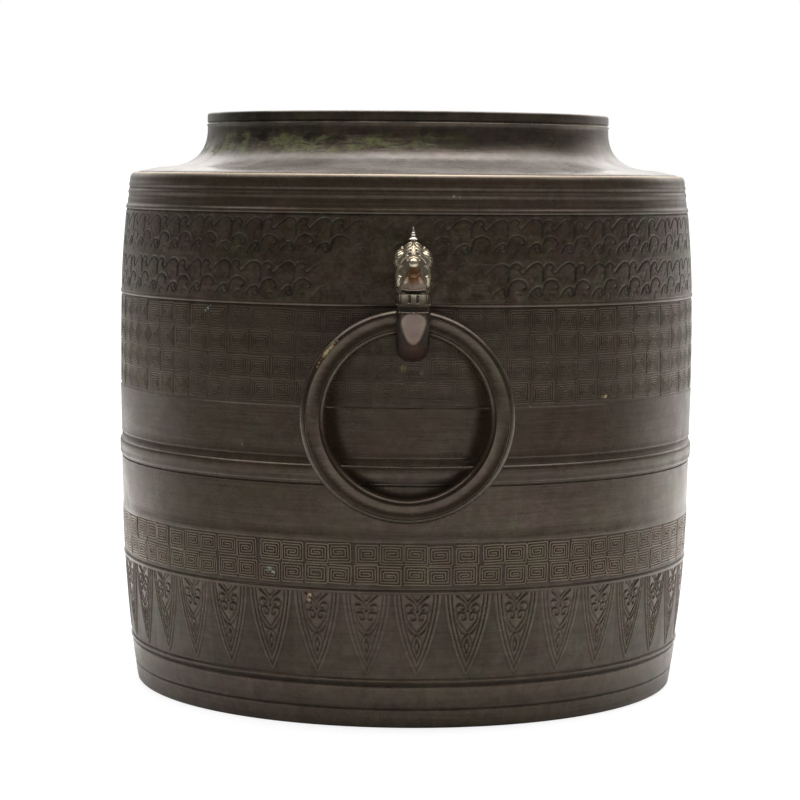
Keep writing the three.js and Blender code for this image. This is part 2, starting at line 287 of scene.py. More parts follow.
def outer_outline():
    """(radius, height, lift) of the outside, from the foot to the lip. Lift is low in grooves, where the material
    paints dirt and shade, and high on the shoulder's edge and the lip's ridge, where it paints highlights.
    """
    outline = []
    offsets = wall_offsets()
    heights, stands = zip(*offsets)
    edge_z = EDGE_TOP - EDGE_TALL
    for (z, offset), (next_z, next_offset) in zip(offsets, offsets[1:] + [(edge_z, EDGE_OFFSET)]):
        steps = max(1, round((next_z - z) / 4))
        for t in np.arange(steps) / steps:
            height = z + (next_z - z) * t
            lift = 1 - min(1, sunk_below(height, heights, stands) / 0.5)
            # Fret grounds and the lower part of the rib get a low lift: dirt and painted shade
            if BLADE_TOP + 1.5 < height < LOWER_FRET_TOP - 0.3:
                lift = 0.38
            elif UPPER_FRET_BOTTOM + 0.1 < height < UPPER_FRET_TOP - BEAD_HALF:
                lift = 0.54
            elif 119.6 < height < 122.8:
                lift = 0.45
            outline.append((float(wall_radius(height)) + offset + (next_offset - offset) * t, height, lift))
    edge = arc(float(wall_radius(edge_z)) + EDGE_OFFSET - EDGE_ROUND, edge_z, EDGE_ROUND, EDGE_TALL, 8)
    # The edge's lift rises to 1.6, where the material paints its highlight
    outline += [(r, z, 1 + 0.6 * float(smoothstep(4, 6, step))) for step, (r, z) in enumerate(edge)]
    # A fine groove behind the edge, its low lift a dark line of painted shade
    outline += [(141.2, EDGE_TOP + 0.1, 1), (141.0, EDGE_TOP, 0.5), (140.7, EDGE_TOP + 0.35, 0.5),
                (140.4, EDGE_TOP + 0.5, 1)]
    outline += [(*sweep(step / 24, NECK_RADIUS), 1) for step in range(25)]
    lip = POT_TOP - LIP_BAND
    for out, z, lift in ((0, lip - 1.6, 1), (0.3, lip - 1.0, 1.1), (0.32, lip - 0.6, 1.3), (-0.3, lip - 0.05, 1.1),
                         (-0.4, lip + 0.4, 0.3), (0.1, lip + 0.7, 1), (0.05, POT_TOP - 1.2, 1)):
        outline.append((NECK_RADIUS + out, z, lift))
    return outline + [(r, z, 1) for r, z in arc(NECK_RADIUS - 1.15, POT_TOP - 1.2, 1.2, 1.2, 5)[1:]]


def inner_outline():
    """(radius, height, lift) of the inside, from the lip down to the foot."""
    mouth = NECK_RADIUS - LIP_THICKNESS
    outline = [(mouth + 0.8, POT_TOP, 1), (mouth + 0.2, POT_TOP - 0.3, 1), (mouth, POT_TOP - 1, 1),
               (mouth, POT_TOP - LIP_BAND + 0.6, 1), (mouth + 0.5, POT_TOP - LIP_BAND, 0.6)]
    for step in range(12, -1, -1):
        radius, height = sweep(step / 12, NECK_RADIUS - WALL)
        outline.append((radius, height - WALL * (1 - (step / 12) ** 2), 0.6))
    corner_z = SHOULDER - WALL - SHOULDER_EDGE
    corner_radius = float(wall_radius(corner_z)) - WALL - SHOULDER_EDGE
    inside = arc(corner_radius, corner_z, SHOULDER_EDGE, SHOULDER_EDGE, 6)[::-1]
    ledge_top = LEDGE_Z + LEDGE_THICKNESS
    inside += [(float(wall_radius(z)) - WALL, float(z)) for z in np.linspace(corner_z - 8, ledge_top, 30)]
    rebate = float(wall_radius(0)) - FOOT_RING_WIDTH
    inside += [(rebate - LEDGE_WIDTH, ledge_top), (rebate - LEDGE_WIDTH, LEDGE_Z), (rebate, LEDGE_Z), (rebate, 0.4)]
    return outline + [(r, z, 0.6) for r, z in inside] + [(rebate + 0.4, 0.0, 1)]


def revolved(name, outline, segments, with_drift=False):
    """A closed outline of (radius, height, lift), turned about the pot's axis."""
    turn = turns(segments)
    radius, height, lift = (np.array(column)[:, None] for column in zip(*outline))
    if with_drift:
        inner = np.arange(len(outline))[:, None] > np.argmax(height)
        on_the_wall = smoothstep(SHOULDER + 4, SHOULDER - 4, height) * smoothstep(0, 3, height)
        radius = radius + np.where(inner, 0, drift(turn[None, :], height) * on_the_wall)
    points = np.stack([radius * np.sin(turn), -radius * np.cos(turn), height + 0 * turn], -1)
    faces = grid_faces(len(outline), segments, close_rows=True)
    return mesh_object(name, points.reshape(-1, 3), faces, lift=lift + 0 * turn)


def capped(name, outline, segments, placed):
    """An outline of (radius, height) that starts and ends on its axis, turned and then placed."""
    points = [(0, 0, outline[0][1])]
    for radius, height in outline[1:-1]:
        points += [(radius * math.sin(a), -radius * math.cos(a), height) for a in turns(segments)]
    points.append((0, 0, outline[-1][1]))
    piece = mesh_object(name, points, capped_faces(len(outline) - 2, segments))
    piece.data.transform(placed)
    return piece


# Raised fret lines

class Lines:
    """Many raised lines on the wall, gathered into one mesh."""

    def __init__(self):
        self.points, self.faces, self.lift = [], [], []

    def add(self, path, width, rises, sunk):
        """path is a list of (theta times nominal radius, height), rises how high the line stands there."""
        along = np.diff(path, axis=0)
        along /= np.linalg.norm(along, axis=1)[:, None]
        left = np.stack([-along[:, 1], along[:, 0]], 1)
        normals = np.vstack([left[:1], left[:-1] + left[1:], left[-1:]])
        normals[1:-1] *= (2 / np.maximum(np.sum(normals[1:-1] ** 2, 1), 1.2))[:, None]
        first = len(self.points)
        for place, normal, rise in zip(path, normals, rises):
            # Low lift at a line's foot is darkened (dirt and painted shade), high lift on its top lightened (wear and
            # painted highlight)
            top = 1.2 + 0.6 * rise
            for side, height, lift in ((0.5, -sunk, 0.6), (0.28, rise, top), (-0.28, rise, top), (-0.5, -sunk, 0.6)):
                u, z = place + normal * width * side
                self.points.append((u / WIDEST_RADIUS, z, height))
                self.lift.append(lift)
        self.faces += grid_faces(len(path), 4, first=first)
        last = len(self.points) - 4
        self.faces += [(first + 3, first + 2, first + 1, first), (last, last + 1, last + 2, last + 3)]

    def piece(self, name):
        theta, z, rise = np.array(self.points).T
        return mesh_object(name, on_wall(theta, z, rise), self.faces, 25, self.lift)


def square_spiral(half_width, half_height, pitch):
    """A squared spiral that winds inwards from a corner, its corners a little rounded."""
    x, z = -half_width, -half_height
    path = [(x, z)]
    runs = [2 * half_width, 2 * half_height]
    turn = 0
    while runs[turn % 2] > 0.6 * pitch:
        step = runs[turn % 2] * (1, 1, -1, -1)[turn % 4]
        x, z = (x + step, z) if turn % 2 == 0 else (x, z + step)
        path.append((x, z))
        if turn:
            runs[turn % 2] -= pitch
        turn += 1
    rounded = [path[0]]
    for before, corner, after in zip(path, path[1:], path[2:]):
        for other in (before, after):
            gap = math.dist(corner, other)
            near = min(0.4, 0.3 * gap) / max(gap, 1e-6)
            rounded.append(tuple(c + (o - c) * near for c, o in zip(corner, other)))
    return rounded + [path[-1]]


def fret_band(name, bottom, top, rows, columns, turn, seed, line_pitch, wear, upright_wear):
    """Rows of squared spirals, each cut a little differently by hand. Their uprights are worn more."""
    random = np.random.default_rng(seed)
    lines = Lines()
    cell_width = 2 * math.pi * WIDEST_RADIUS / columns
    cell_height = (top - bottom) / rows
    for row in range(rows):
        for column in range(columns):
            u = (column + 0.05 * random.standard_normal()) * cell_width + turn * WIDEST_RADIUS
            z = bottom + (row + 0.5 + 0.02 * random.standard_normal()) * cell_height
            pitch = line_pitch * (1 + 0.04 * random.standard_normal())
            half_width = cell_width / 2 - 0.5 * line_pitch + 0.08 * random.standard_normal()
            spiral = np.array(square_spiral(half_width, cell_height / 2 - 0.62, pitch))
            if random.random() < 0.2:
                spiral[:, 0] *= -1
            if random.random() < 0.2:
                spiral[:, 1] *= -1
            tilt = 0.02 * random.standard_normal()
            spiral = spiral @ np.array([[math.cos(tilt), math.sin(tilt)], [-math.sin(tilt), math.cos(tilt)]])
            uprights = np.arange(len(spiral)) // 2 % 2
            rises = FRET_DEPTH * (wear(u / WIDEST_RADIUS, z) - 1 - upright_wear * uprights)
            lines.add(spiral + (u, z), 0.77 * line_pitch, rises, FRET_DEPTH + 0.1)
    return lines.piece(name)


# Carved bands, cut as grooves into a fine sheet

def curve(points, steps=5):
    """A smooth path through points."""
    points = np.asarray(points, float)
    ends = np.vstack([2 * points[0] - points[1], points, 2 * points[-1] - points[-2]])
    path = []
    for a, b, c, d in zip(ends, ends[1:], ends[2:], ends[3:]):
        for step in range(steps):
            t = step / steps
            path.append(0.5 * (2 * b + (c - a) * t + (2 * a - 5 * b + 4 * c - d) * t * t
                               + (3 * b - a - 3 * c + d) * t**3))
    path.append(points[-1])
    return np.array(path)


def distance_to(path, x, y):
    """Distance from each grid point to a path."""
    best = np.full(x.shape, 1e9)
    for (ax, ay), (bx, by) in zip(path, path[1:]):
        dx, dy = bx - ax, by - ay
        t = np.clip(((x - ax) * dx + (y - ay) * dy) / max(dx * dx + dy * dy, 1e-9), 0, 1)
        best = np.minimum(best, (x - ax - t * dx) ** 2 + (y - ay - t * dy) ** 2)
    return np.sqrt(best)


def groove(distance, half):
    """Depth of a carved line from 0 to 1."""
    return 1 - smoothstep(0.15 * half, half, distance)


WAVE_HEIGHT = (WAVE_TOP - UPPER_FRET_TOP - 2) / 2
WAVE_WIDTH = 2 * math.pi * WIDEST_RADIUS / WAVE_UNITS
# The strokes of one crested wave: how deep each is, and its (along, up)
WAVE = [
    (1, [(-0.2, 10.4), (0.1, 13.2), (0.7, 15.7), (1.9, 17.5), (3.6, 18.3), (5.2, 17.8), (5.9, 16.6), (5.3, 15.7)]),
    (1, [(4.7, 15.6), (5.7, 14.3), (6.8, 13.3), (8.4, 14.4), (10.4, 16.2), (12.8, 17.8), (15.2, 18.4), (17.2, 17.6),
         (18.1, 16.0), (17.6, 14.4)]),
    (1, [(-2.0, 5.6), (-1.2, 3.6), (-0.5, 3.5), (0.1, 5.9), (0.9, 8.3), (2.6, 9.9), (4.9, 10.4), (7.2, 9.7),
         (8.6, 8.2), (8.4, 6.8), (7.4, 6.4)]),
    (0.9, [(10.2, 2.6), (11.2, 4.4), (13.0, 6.0), (15.0, 6.9), (16.4, 6.6), (16.8, 5.6), (15.9, 5.0)]),
    (0.7, [(13.9, 4.9), (14.4, 3.5), (15.7, 2.7), (17.0, 3.1)]),
    (0.35, [(9.6, 11.9), (10.9, 9.6), (12.2, 8.8), (13.2, 10.6), (14.2, 12.6)]),
    (0.5, [(3.0, 1.0), (3.6, 3.2), (4.9, 4.3), (6.1, 3.6)]),
]

BLADE_LENGTH = 40.0
BLADE_WIDTH = 2 * math.pi * WIDEST_RADIUS / BLADE_UNITS
# Half the width of a blade and how far down
BLADE_HALF = [(11.5, -1), (11.5, 1), (11.2, 5), (10.3, 11), (9.0, 17), (7.3, 23), (5.4, 29), (3.5, 33.5), (1.4, 38),
              (0, BLADE_LENGTH)]
# Its fillings: (across from the middle, down)
FILLINGS = [
    [(5.4, 0.2), (4.0, 1.3), (2.3, 2.7), (0.9, 4.4), (0.35, 6.2), (0.3, 8.0)],
    [(2.6, 0.3), (1.4, 1.7), (0, 3.0)],
    [(4.9, 9.2), (5.9, 7.4), (5.7, 5.6), (4.5, 4.5), (2.9, 4.8), (1.9, 6.1), (2.3, 7.4), (3.4, 7.2)],
    [(4.8, 9.0), (3.2, 8.3), (1.6, 8.9), (0.9, 10.4), (1.4, 11.9), (2.6, 12.0), (3.0, 10.9)],
    [(5.1, 9.6), (4.9, 11.4), (4.0, 13.2), (2.1, 15.6), (0, 18.3)],
    [(5.2, 14.2), (4.1, 16.4), (2.5, 18.4), (1.2, 19.6)],
    [(0, 18.9), (1.5, 20.8), (2.4, 23.4), (2.2, 26.4), (1.2, 29.4), (0, 32.0)],
]
GROUND = 0.7


def wave_cell(x, y):
    """Depth of one wave: x from 0 to WAVE_WIDTH, y from 0 to WAVE_HEIGHT."""
    depth = np.zeros(x.shape)
    for weight, stroke in WAVE:
        for shift in (-WAVE_WIDTH, 0, WAVE_WIDTH):
            depth = np.maximum(depth, weight * groove(distance_to(curve(stroke) + (shift, 0), x, y), 0.84))
    return depth


def blade_cell(x, y):
    """Depth of one hanging blade: x from its middle line, y down from the top of the band."""
    side = curve(BLADE_HALF, 6)
    across = np.abs(x)
    inside = across < np.interp(y, side[:, 1], side[:, 0], right=0)
    edge = distance_to(side, across, y) * np.where(inside, 1, -1)
    depth = GROUND - 0.97 * smoothstep(-0.2, 0.5, edge)
    for inset, weight in ((-0.4, 0.9), (1.6, 1.0), (3.5, 1.0)):
        depth = np.maximum(depth, weight * groove(np.abs(edge - inset), 0.72))
    cuts = [0.86 * groove(distance_to(curve(stroke), across, y), 0.7) for stroke in FILLINGS]
    cuts.append(groove(np.abs(np.hypot(x / 0.9, (y - 25.2) / 2.7) - 1), 0.6))
    depth = np.maximum(depth, np.where(edge > 4.0, np.max(cuts, 0), -1))
    return np.where(y > BLADE_LENGTH + 0.5, GROUND, depth)


def sampled(cell, width, height, start=0.0):
    """A lookup into one unit of a carved pattern. start says where the unit starts, in widths."""
    step = 0.12
    xs = np.arange(start, start + 1, step / width) * width
    ys = np.arange(0, height + step, step)
    table = cell(*np.meshgrid(xs, ys))

    def look(u, v):
        column = (u - xs[0]) / step
        row = np.clip(v / step, 0, len(ys) - 1.001)
        i = np.floor(row).astype(int)
        j = np.floor(column).astype(int)
        fi, fj = row - i, column - j
        a, b = j % len(xs), (j + 1) % len(xs)
        low = table[i, a] * (1 - fj) + table[i, b] * fj
        high = table[i + 1, a] * (1 - fj) + table[i + 1, b] * fj
        return low * (1 - fi) + high * fi

    return look


def carved_sheet(name, bottom, top, columns, depth_at, deepest, groove_dirt_and_shade):
    """A closed ring of sheet whose outside is cut to depth_at(theta, z), from 0 to 1."""
    rows = round((top - bottom) / SHEET_STEP) + 1
    theta, z = np.meshgrid(turns(columns), np.linspace(bottom, top, rows))
    depth = depth_at(theta, z)
    outer = on_wall(theta, z, -0.05 - deepest * depth).reshape(-1, 3)
    ends = [on_wall(theta[i], z[i], -PATCH_SEAT - 0.15) for i in (-1, 0)]
    # Cuts get a low lift, which the material darkens: dirt and painted shade in the grooves
    lift = np.concatenate([1 - groove_dirt_and_shade * depth.ravel(), np.zeros(2 * columns)])
    return mesh_object(name, np.vstack([outer, *ends]), grid_faces(rows + 2, columns, close_rows=True), 60, lift)


def wave_wear(theta, z):
    """How crisp the waves are: almost rubbed away behind and beside the front lug."""
    degrees = from_front(theta)
    lower = smoothstep(228, 224, z)
    rubbed = smoothstep(-17 - 6 * lower, -10 - 4 * lower, degrees)
    rubbed = rubbed * (1 - smoothstep(3 + 8 * lower, 12 + 9 * lower, degrees))
    patchy = 0.8 + 0.2 * np.sin(7 * theta + z / 11) * np.sin(11 * theta - z / 17)
    return (1 - (0.62 + 0.25 * lower) * rubbed) * patchy


def wave_depth():
    look = sampled(wave_cell, WAVE_WIDTH, WAVE_HEIGHT)
    base = UPPER_FRET_TOP + 1

    def depth(theta, z):
        register = np.minimum((z - base) // WAVE_HEIGHT, 1)
        u = (theta - WAVE_TURN) * WIDEST_RADIUS
        unit = np.floor(u / WAVE_WIDTH)
        wander = 0.5 * np.sin(unit * 2.4 + register * 1.7)
        v = z - base - register * WAVE_HEIGHT + 0.35 * np.sin(unit * 1.9 + register)
        swung = u + wander * np.sin(math.pi * (u / WAVE_WIDTH - unit))
        waves = look(swung, np.clip(v, 0, WAVE_HEIGHT)) * wave_wear(theta, z)
        return np.maximum(waves, 0.7 * smoothstep(WAVE_TOP - 2.0, WAVE_TOP - 1.3, z))

    return depth


def blade_depth():
    height = BLADE_TOP - FOOT_TOP
    look = sampled(blade_cell, BLADE_WIDTH, height, -0.5)

    def depth(theta, z):
        u = (theta - BLADE_TURN) * WIDEST_RADIUS
        unit = np.floor(u / BLADE_WIDTH + 0.5)
        down = BLADE_TOP - 1 - z
        crisp = 0.88 + 0.12 * np.sin(unit * 1.3 + 0.5)
        rubbed = np.exp(-((from_front(theta) - 4) / 22) ** 2)
        crisp = crisp * (1 - (0.05 + 0.2 * rubbed) * smoothstep(24, 39, down))
        lean = 0.25 * np.sin(unit * 2.7) * down / height
        return look(u - unit * BLADE_WIDTH + lean, np.clip(down, 0, height)) * crisp

    return depth


# Lugs

# The trunk: angle round the bar, thickness, width
TRUNK = [(80, 13.6, 16.8), (55, 12.8, 16.8), (30, 11.9, 16.2), (10, 11.7, 15.6), (-16, 10.6, 15.4), (-40, 10.6, 15.4),
         (-65, 11.8, 15.2), (-90, 12.6, 14.8)]
# The flat down its front, and the seat of the spike, as in the solids
FLAT_LEAN = math.radians(16)
FLAT_REACH = 15.45
HEAD_TOP = 22.9 + 14
SPIKE_IN = 4.1
# The masses of the head: place and half sizes, each (sideways, out, up) from the bar
HEAD = [
    ((0, -4.6, 22.9), (7.9, 13.2, 13.7)),
    ((-5.2, -0.6, 19.6), (3.5, 7.5, 8.4)),
    ((5.2, -0.6, 19.6), (3.5, 7.5, 8.4)),
    ((-5.7, -2.0, 27.6), (3.6, 5.6, 5.8)),
    ((5.7, -2.0, 27.6), (3.6, 5.6, 5.8)),
    ((0, 7.6, 26.7), (2.7, 3.4, 2.9)),
    ((0, 6.0, 22.0), (3.5, 5.4, 5.6)),
]

# Rolls of the face, for the side towards +X: (sideways, up) along each, and its thickness there
EYE = [(6.3, 20.6), (6.6, 18.7), (5.9, 16.8)]
ROLLS = [
    ([(2.5, 30.2), (4.4, 28.8), (6.2, 26.2), (7.2, 23.2), (7.5, 19.8), (6.9, 16.3), (5.6, 15.0), (4.4, 16.2),
      (4.0, 18.6), (4.3, 20.8)], 0.85, 0.5),
    ([(2.8, 28.2), (3.6, 25.4), (4.0, 22.6), (3.9, 19.8), (3.4, 18.0)], 0.6, 0.4),
    (EYE, 1.2, 0.9),
    ([(4.9, 25.2), (6.0, 24.0), (6.4, 22.6)], 0.6, 0.35),
]
# Locks of the mane, from the crown to their tips
LOCKS = [
    ([(0.9, 35.8), (3.2, 34.9), (5.6, 33.6), (7.8, 32.0)], 1.0, 0.15),
    ([(1.1, 34.4), (3.6, 32.8), (6.4, 31.0), (8.9, 29.6)], 1.05, 0.15),
    ([(1.2, 33.0), (4.0, 31.0), (7.0, 28.9), (9.5, 27.2)], 1.05, 0.15),
    ([(1.3, 31.8), (4.0, 29.6), (7.0, 26.9), (8.9, 24.6)], 0.9, 0.15),
]
CREST = ([(0, 36.5), (0, 34.2), (0, 31.8), (0, 29.6)], 0.75, 0.5)
# The snout from its root down: height, half width, reach out, and how far its lower lip hangs
SNOUT = [(22.0, 3.0, 10.0), (20.0, 4.4, 11.1), (17.9, 5.6, 12.4), (16.3, 6.3, 13.2), (15.4, 6.6, 13.5),
         (14.8, 6.3, 13.0)]
LIP_HANG = 1.1


def trunk_loop(angle, inward=0.0):
    """The trunk's cross-section at an angle round the bar."""
    turn = math.radians(angle)
    angles, thicknesses, widths = np.array(TRUNK[::-1], float).T
    thick, wide = np.interp(angle, angles, thicknesses) / 2, np.interp(angle, angles, widths) / 2
    away = np.array([0, -math.cos(turn), math.sin(turn)])
    middle = np.array([0, inward - PIVOT_OUT, PIVOT_Z]) + away * (PASSAGE_RADIUS + thick)
    loop = []
    for a in turns(40):
        across, up = math.cos(a), math.sin(a)
        squarer = (abs(across) ** 2.15 + abs(up) ** 2.15) ** (-1 / 2.15)
        loop.append(middle + away * (thick * up * squarer) + (wide * across * squarer, 0, 0))
    return loop


def lofted(loops):
    """Points and faces of a closed loft."""
    count = len(loops[0])
    last = (len(loops) - 1) * count
    faces = grid_faces(len(loops), count)
    faces += [tuple(range(count))[::-1], tuple(range(last, last + count))]
    return [corner for loop in loops for corner in loop], faces


def ball(place, halves, rows=20, columns=28):
    """Points and faces of a mass of the head."""
    points = [(0, 0, -1)]
    for i in range(1, rows):
        a = math.pi * i / rows
        points += [(math.sin(a) * math.sin(b), -math.sin(a) * math.cos(b), -math.cos(a)) for b in turns(columns)]
    points = np.array(points + [(0, 0, 1)]) * halves
    return points + (place[0], -PIVOT_OUT - place[1], HEAD_Z + place[2]), capped_faces(rows - 1, columns)


def joined(parts):
    points, faces = [], []
    for part_points, part_faces in parts:
        faces += [tuple(len(points) + i for i in face) for face in part_faces]
        points += [tuple(p) for p in part_points]
    return points, faces


def plain_object(name, points, faces):
    mesh = bpy.data.meshes.new(name)
    mesh.from_pydata([tuple(map(float, p)) for p in points], [], faces)
    return new_object(name, mesh)


def evaluated(piece):
    """The mesh of a piece with its modifiers worked in. The piece itself goes."""
    graph = bpy.context.evaluated_depsgraph_get()
    mesh = bpy.data.meshes.new_from_object(piece.evaluated_get(graph))
    bpy.data.objects.remove(piece)
    return mesh


def passage_cutter():
    """The room for the ring's bar, open towards the wall."""
    loops = []
    for s in np.linspace(-14, 14, 25):
        radius = PASSAGE_RADIUS + s * s / (2 * RING_INNER)
        loops.append([(RING_SIDEWAYS + s, -PIVOT_OUT + radius * math.sin(a), PIVOT_Z + radius * math.cos(a))
                      for a in turns(48)])
    return plain_object("passage", *lofted(loops))


def gap_cutter():
    """The way from the bar's passage to the wall."""
    half, tall, reach = 14.0, 5.4, 10.0
    points = [(x, -PIVOT_OUT + y, PIVOT_Z + z) for x in (-half, half) for y in (0, reach) for z in (-tall, tall)]
    faces = [(0, 1, 3, 2), (4, 6, 7, 5), (0, 4, 5, 1), (2, 3, 7, 6), (0, 2, 6, 4), (1, 5, 7, 3)]
    return plain_object("gap", points, faces)


def wall_cutter():
    """The wall with its running gap, as a solid from the rib to the wave line."""
    loops = []
    for z in np.linspace(RIB_TOP + 20, WAVE_TOP, 30):
        radius = float(wall_radius(z)) + 0.75
        loops.append([(radius * math.sin(a), -radius * math.cos(a), z) for a in turns(240)])
    return plain_object("wall_cutter", *lofted(loops))


def head_out(x, up):
    """How far out from the bar the masses of the head stand at a place seen from the front."""
    reach = [-3.0]
    for place, halves in HEAD:
        left = 1 - ((x - place[0]) / halves[0]) ** 2 - ((up - place[2]) / halves[2]) ** 2
        if left > 0:
            reach.append(place[1] + halves[1] * math.sqrt(left))
    return max(reach)


def roll(path, thick, thin, side=1, sink=0.25):
    """A tapering roll laid on the face of the head."""
    track = np.array([(side * x, -(PIVOT_OUT + head_out(x, up) - sink), HEAD_Z + up) for x, up in curve(path, 6)])
    for _ in range(3):
        track[1:-1, 1] = (track[:-2, 1] + 2 * track[1:-1, 1] + track[2:, 1]) / 4
    loops = []
    for i, place in enumerate(track):
        along = track[min(i + 1, len(track) - 1)] - track[max(i - 1, 0)]
        along /= np.linalg.norm(along)
        across = np.cross(along, (0, 1, 0))
        across /= np.linalg.norm(across)
        out = np.cross(across, along)
        radius = thick + (thin - thick) * i / (len(track) - 1)
        loops.append([place + radius * (math.cos(a) * across + math.sin(a) * out) for a in turns(12)])
    return lofted(loops)


def snout():
    """The flaring snout, its lower lip hanging in the middle."""
    def squared(value):
        return math.copysign(abs(value) ** 0.6, value)

    loops = []
    for level, (up, half, out) in enumerate(SNOUT):
        loop = []
        for a in turns(32):
            x = half * squared(math.cos(a))
            y = out - 4 + 4 * squared(math.sin(a)) - 0.05 * x * x
            hang = LIP_HANG * level / (len(SNOUT) - 1) * (1 - (x / half) ** 2)
            loop.append((x, -(PIVOT_OUT + y), HEAD_Z + up - hang))
        loops.append(loop)
    return lofted(loops)


def hair(across, up):
    """The strands of the mane, from -1 between them to 1 on them."""
    return np.sin(4.6 * (up + 0.62 * across))


def carve(points, normals):
    """Cuts the fine work: the fold under the snout, the bands of the trunk and the strands of the mane."""
    x, y, z = points.T
    across = np.abs(x)
    out = -y - PIVOT_OUT
    up = z - HEAD_Z
    angle = np.degrees(np.arctan2(up, out))
    trunk = smoothstep(8, 10, np.hypot(out, up)) * smoothstep(60, 48, angle) * smoothstep(5, 8, out)
    hang = LIP_HANG * (1 - np.minimum(across / 6.5, 1) ** 2)
    slots = smoothstep(0.6, 0.2, np.abs(across - 1.9)) * window(up, 8.3, 8.8, 11.7, 12.2)
    strands = smoothstep(5.4, 6.2, across) * smoothstep(14, 12, up) * np.sin(5.5 * across + 0.3 * up)
    strap = window(up, 7.8, 8.2, 12.3, 12.7)
    fold = window(up, 12.7, 13.1, 14.5 - hang, 15.1 - hang)
    hollow = window(up, 4.3, 4.7, 7.2, 7.6)
    move = trunk * (0.3 * strap - 0.6 * fold - 0.45 * hollow - 0.45 * slots + 0.12 * strands)
    mane = smoothstep(27, 30, up) * smoothstep(1.5, 2.6, across) * smoothstep(0.0, 0.5, -normals[:, 1])
    move += 0.10 * mane * hair(across, up)
    return points + normals * move[:, None]


def worn(points, normals):
    """Where a lug is rubbed bright, with painted highlights: mane, eyes, crest, dome, less so the flat, whose tongue
    is a painted reflection. Below 0 it is sooty and painted shade: slots, hollow, fold under the snout, the trunk
    beside and below the tongue.
    """
    across = np.abs(points[:, 0])
    up = points[:, 2] - HEAD_Z
    front = smoothstep(0.5, -0.1, normals[:, 1])
    mane = smoothstep(-0.9, 0.9, up + 0.87 * across - 34.0) * smoothstep(23.5, 26.0, up)
    # Rubbed metal and painted highlights on mane, eyes, crest and dome
    bright = np.max([
        mane * (0.95 + 0.25 * hair(across, up)),
        0.9 * smoothstep(1.5, 0.8, distance_to(curve(EYE), across, up)),
        smoothstep(1.2, 0.5, across) * smoothstep(30.0, 31.0, up),
        1.2 * smoothstep(3.2, 1.8, np.hypot(across, up - 27.7)),
        0.5 * smoothstep(0.8, 0.3, distance_to(curve(ROLLS[0][0]), across, up)),
    ], 0)
    tongue = 6.1 * np.sqrt(1 - (np.clip(0.7 - up, 0, 11.5) / 11.5) ** 1.25)
    bright = np.max([
        0.84 * bright,
        # Lighter tongue down the flat: painted reflection
        0.24 * smoothstep(-0.2, 1.0, tongue - across) * window(up, -11.4, -10.4, 2.0, 4.4),
        0.26 * window(up, 13.8, 14.6, 19.0, 20.5),
        0.24 * smoothstep(12.6, 14.2, up),
        0.17 * window(up, 7.8, 8.4, 12.3, 12.9) * smoothstep(6.6, 3.6, across),
    ], 0)
    # Darkened slots, hollow, fold and the trunk beside and below the tongue: soot and painted shade
    below_tip = smoothstep(-10.4, -11.4, up)
    sooty_and_shaded_places = np.max([
        smoothstep(0.6, 0.25, np.abs(across - 1.85)) * window(up, 8.4, 9.0, 11.4, 12.0),
        0.6 * window(up, 4.2, 4.8, 7.2, 7.7) * smoothstep(6.6, 5.8, across),
        0.5 * window(up, 12.8, 13.1, 14.0, 14.6) * smoothstep(6.2, 5.2, across),
        0.8 * smoothstep(0.3, -0.9, tongue - across - below_tip) * smoothstep(4.4, 3.0, up),
    ], 0)
    return front * (bright - sooty_and_shaded_places)


def flattened(points):
    """Presses the front of the trunk back to its flat."""
    normal = np.array([0, -math.cos(FLAT_LEAN), -math.sin(FLAT_LEAN)])
    past = (points - (0, -PIVOT_OUT, PIVOT_Z)) @ normal - FLAT_REACH
    low = smoothstep(4.9, 4.3, points[:, 2] - HEAD_Z)
    return points - normal * (np.maximum(past, 0) * low)[:, None]


def points_and_normals(mesh):
    found = []
    for key in ("co", "normal"):
        values = np.empty(len(mesh.vertices) * 3, np.float32)
        mesh.vertices.foreach_get(key, values)
        found.append(values.reshape(-1, 3).astype(float))
    return found


def lug_piece(name):
    """The animal head, its trunk hooked round the bar, cut to clear the bar and the wall."""
    loops = [trunk_loop(a) for a in np.linspace(80, -90, 60)] + [trunk_loop(-90, inward=10.0)]
    parts = [lofted(loops), snout(), roll(*CREST)]
    parts += [ball(place, halves) for place, halves in HEAD]
    for side in (-1, 1):
        parts += [roll(*shape, side) for shape in ROLLS]
        parts += [roll(*shape, side, sink=0.45) for shape in LOCKS]
    rough = plain_object(name, *joined(parts))
    remesh = rough.modifiers.new("remesh", "REMESH")
    remesh.mode = "VOXEL"
    remesh.voxel_size = 0.3
    soften = rough.modifiers.new("soften", "SMOOTH")
    soften.factor = 0.5
    soften.iterations = 2
    mesh = evaluated(rough)
    points = flattened(carve(*points_and_normals(mesh)))
    mesh.vertices.foreach_set("co", points.astype(np.float32).ravel())
    lug = new_object(name, mesh)
    cutters = [passage_cutter(), gap_cutter(), wall_cutter()]
    for cutter in cutters:
        cut = lug.modifiers.new("cut", "BOOLEAN")
        cut.operation = "DIFFERENCE"
        cut.solver = "EXACT"
        cut.object = cutter
    mesh = evaluated(lug)
    for cutter in cutters:
        bpy.data.objects.remove(cutter)
    mesh.shade_smooth()
    mesh.set_sharp_from_angle(angle=math.radians(40))
    give_values(mesh, "worn", worn(*points_and_normals(mesh)))
    mesh.transform(Matrix.Scale(MM, 4))
    return new_object(name, mesh)


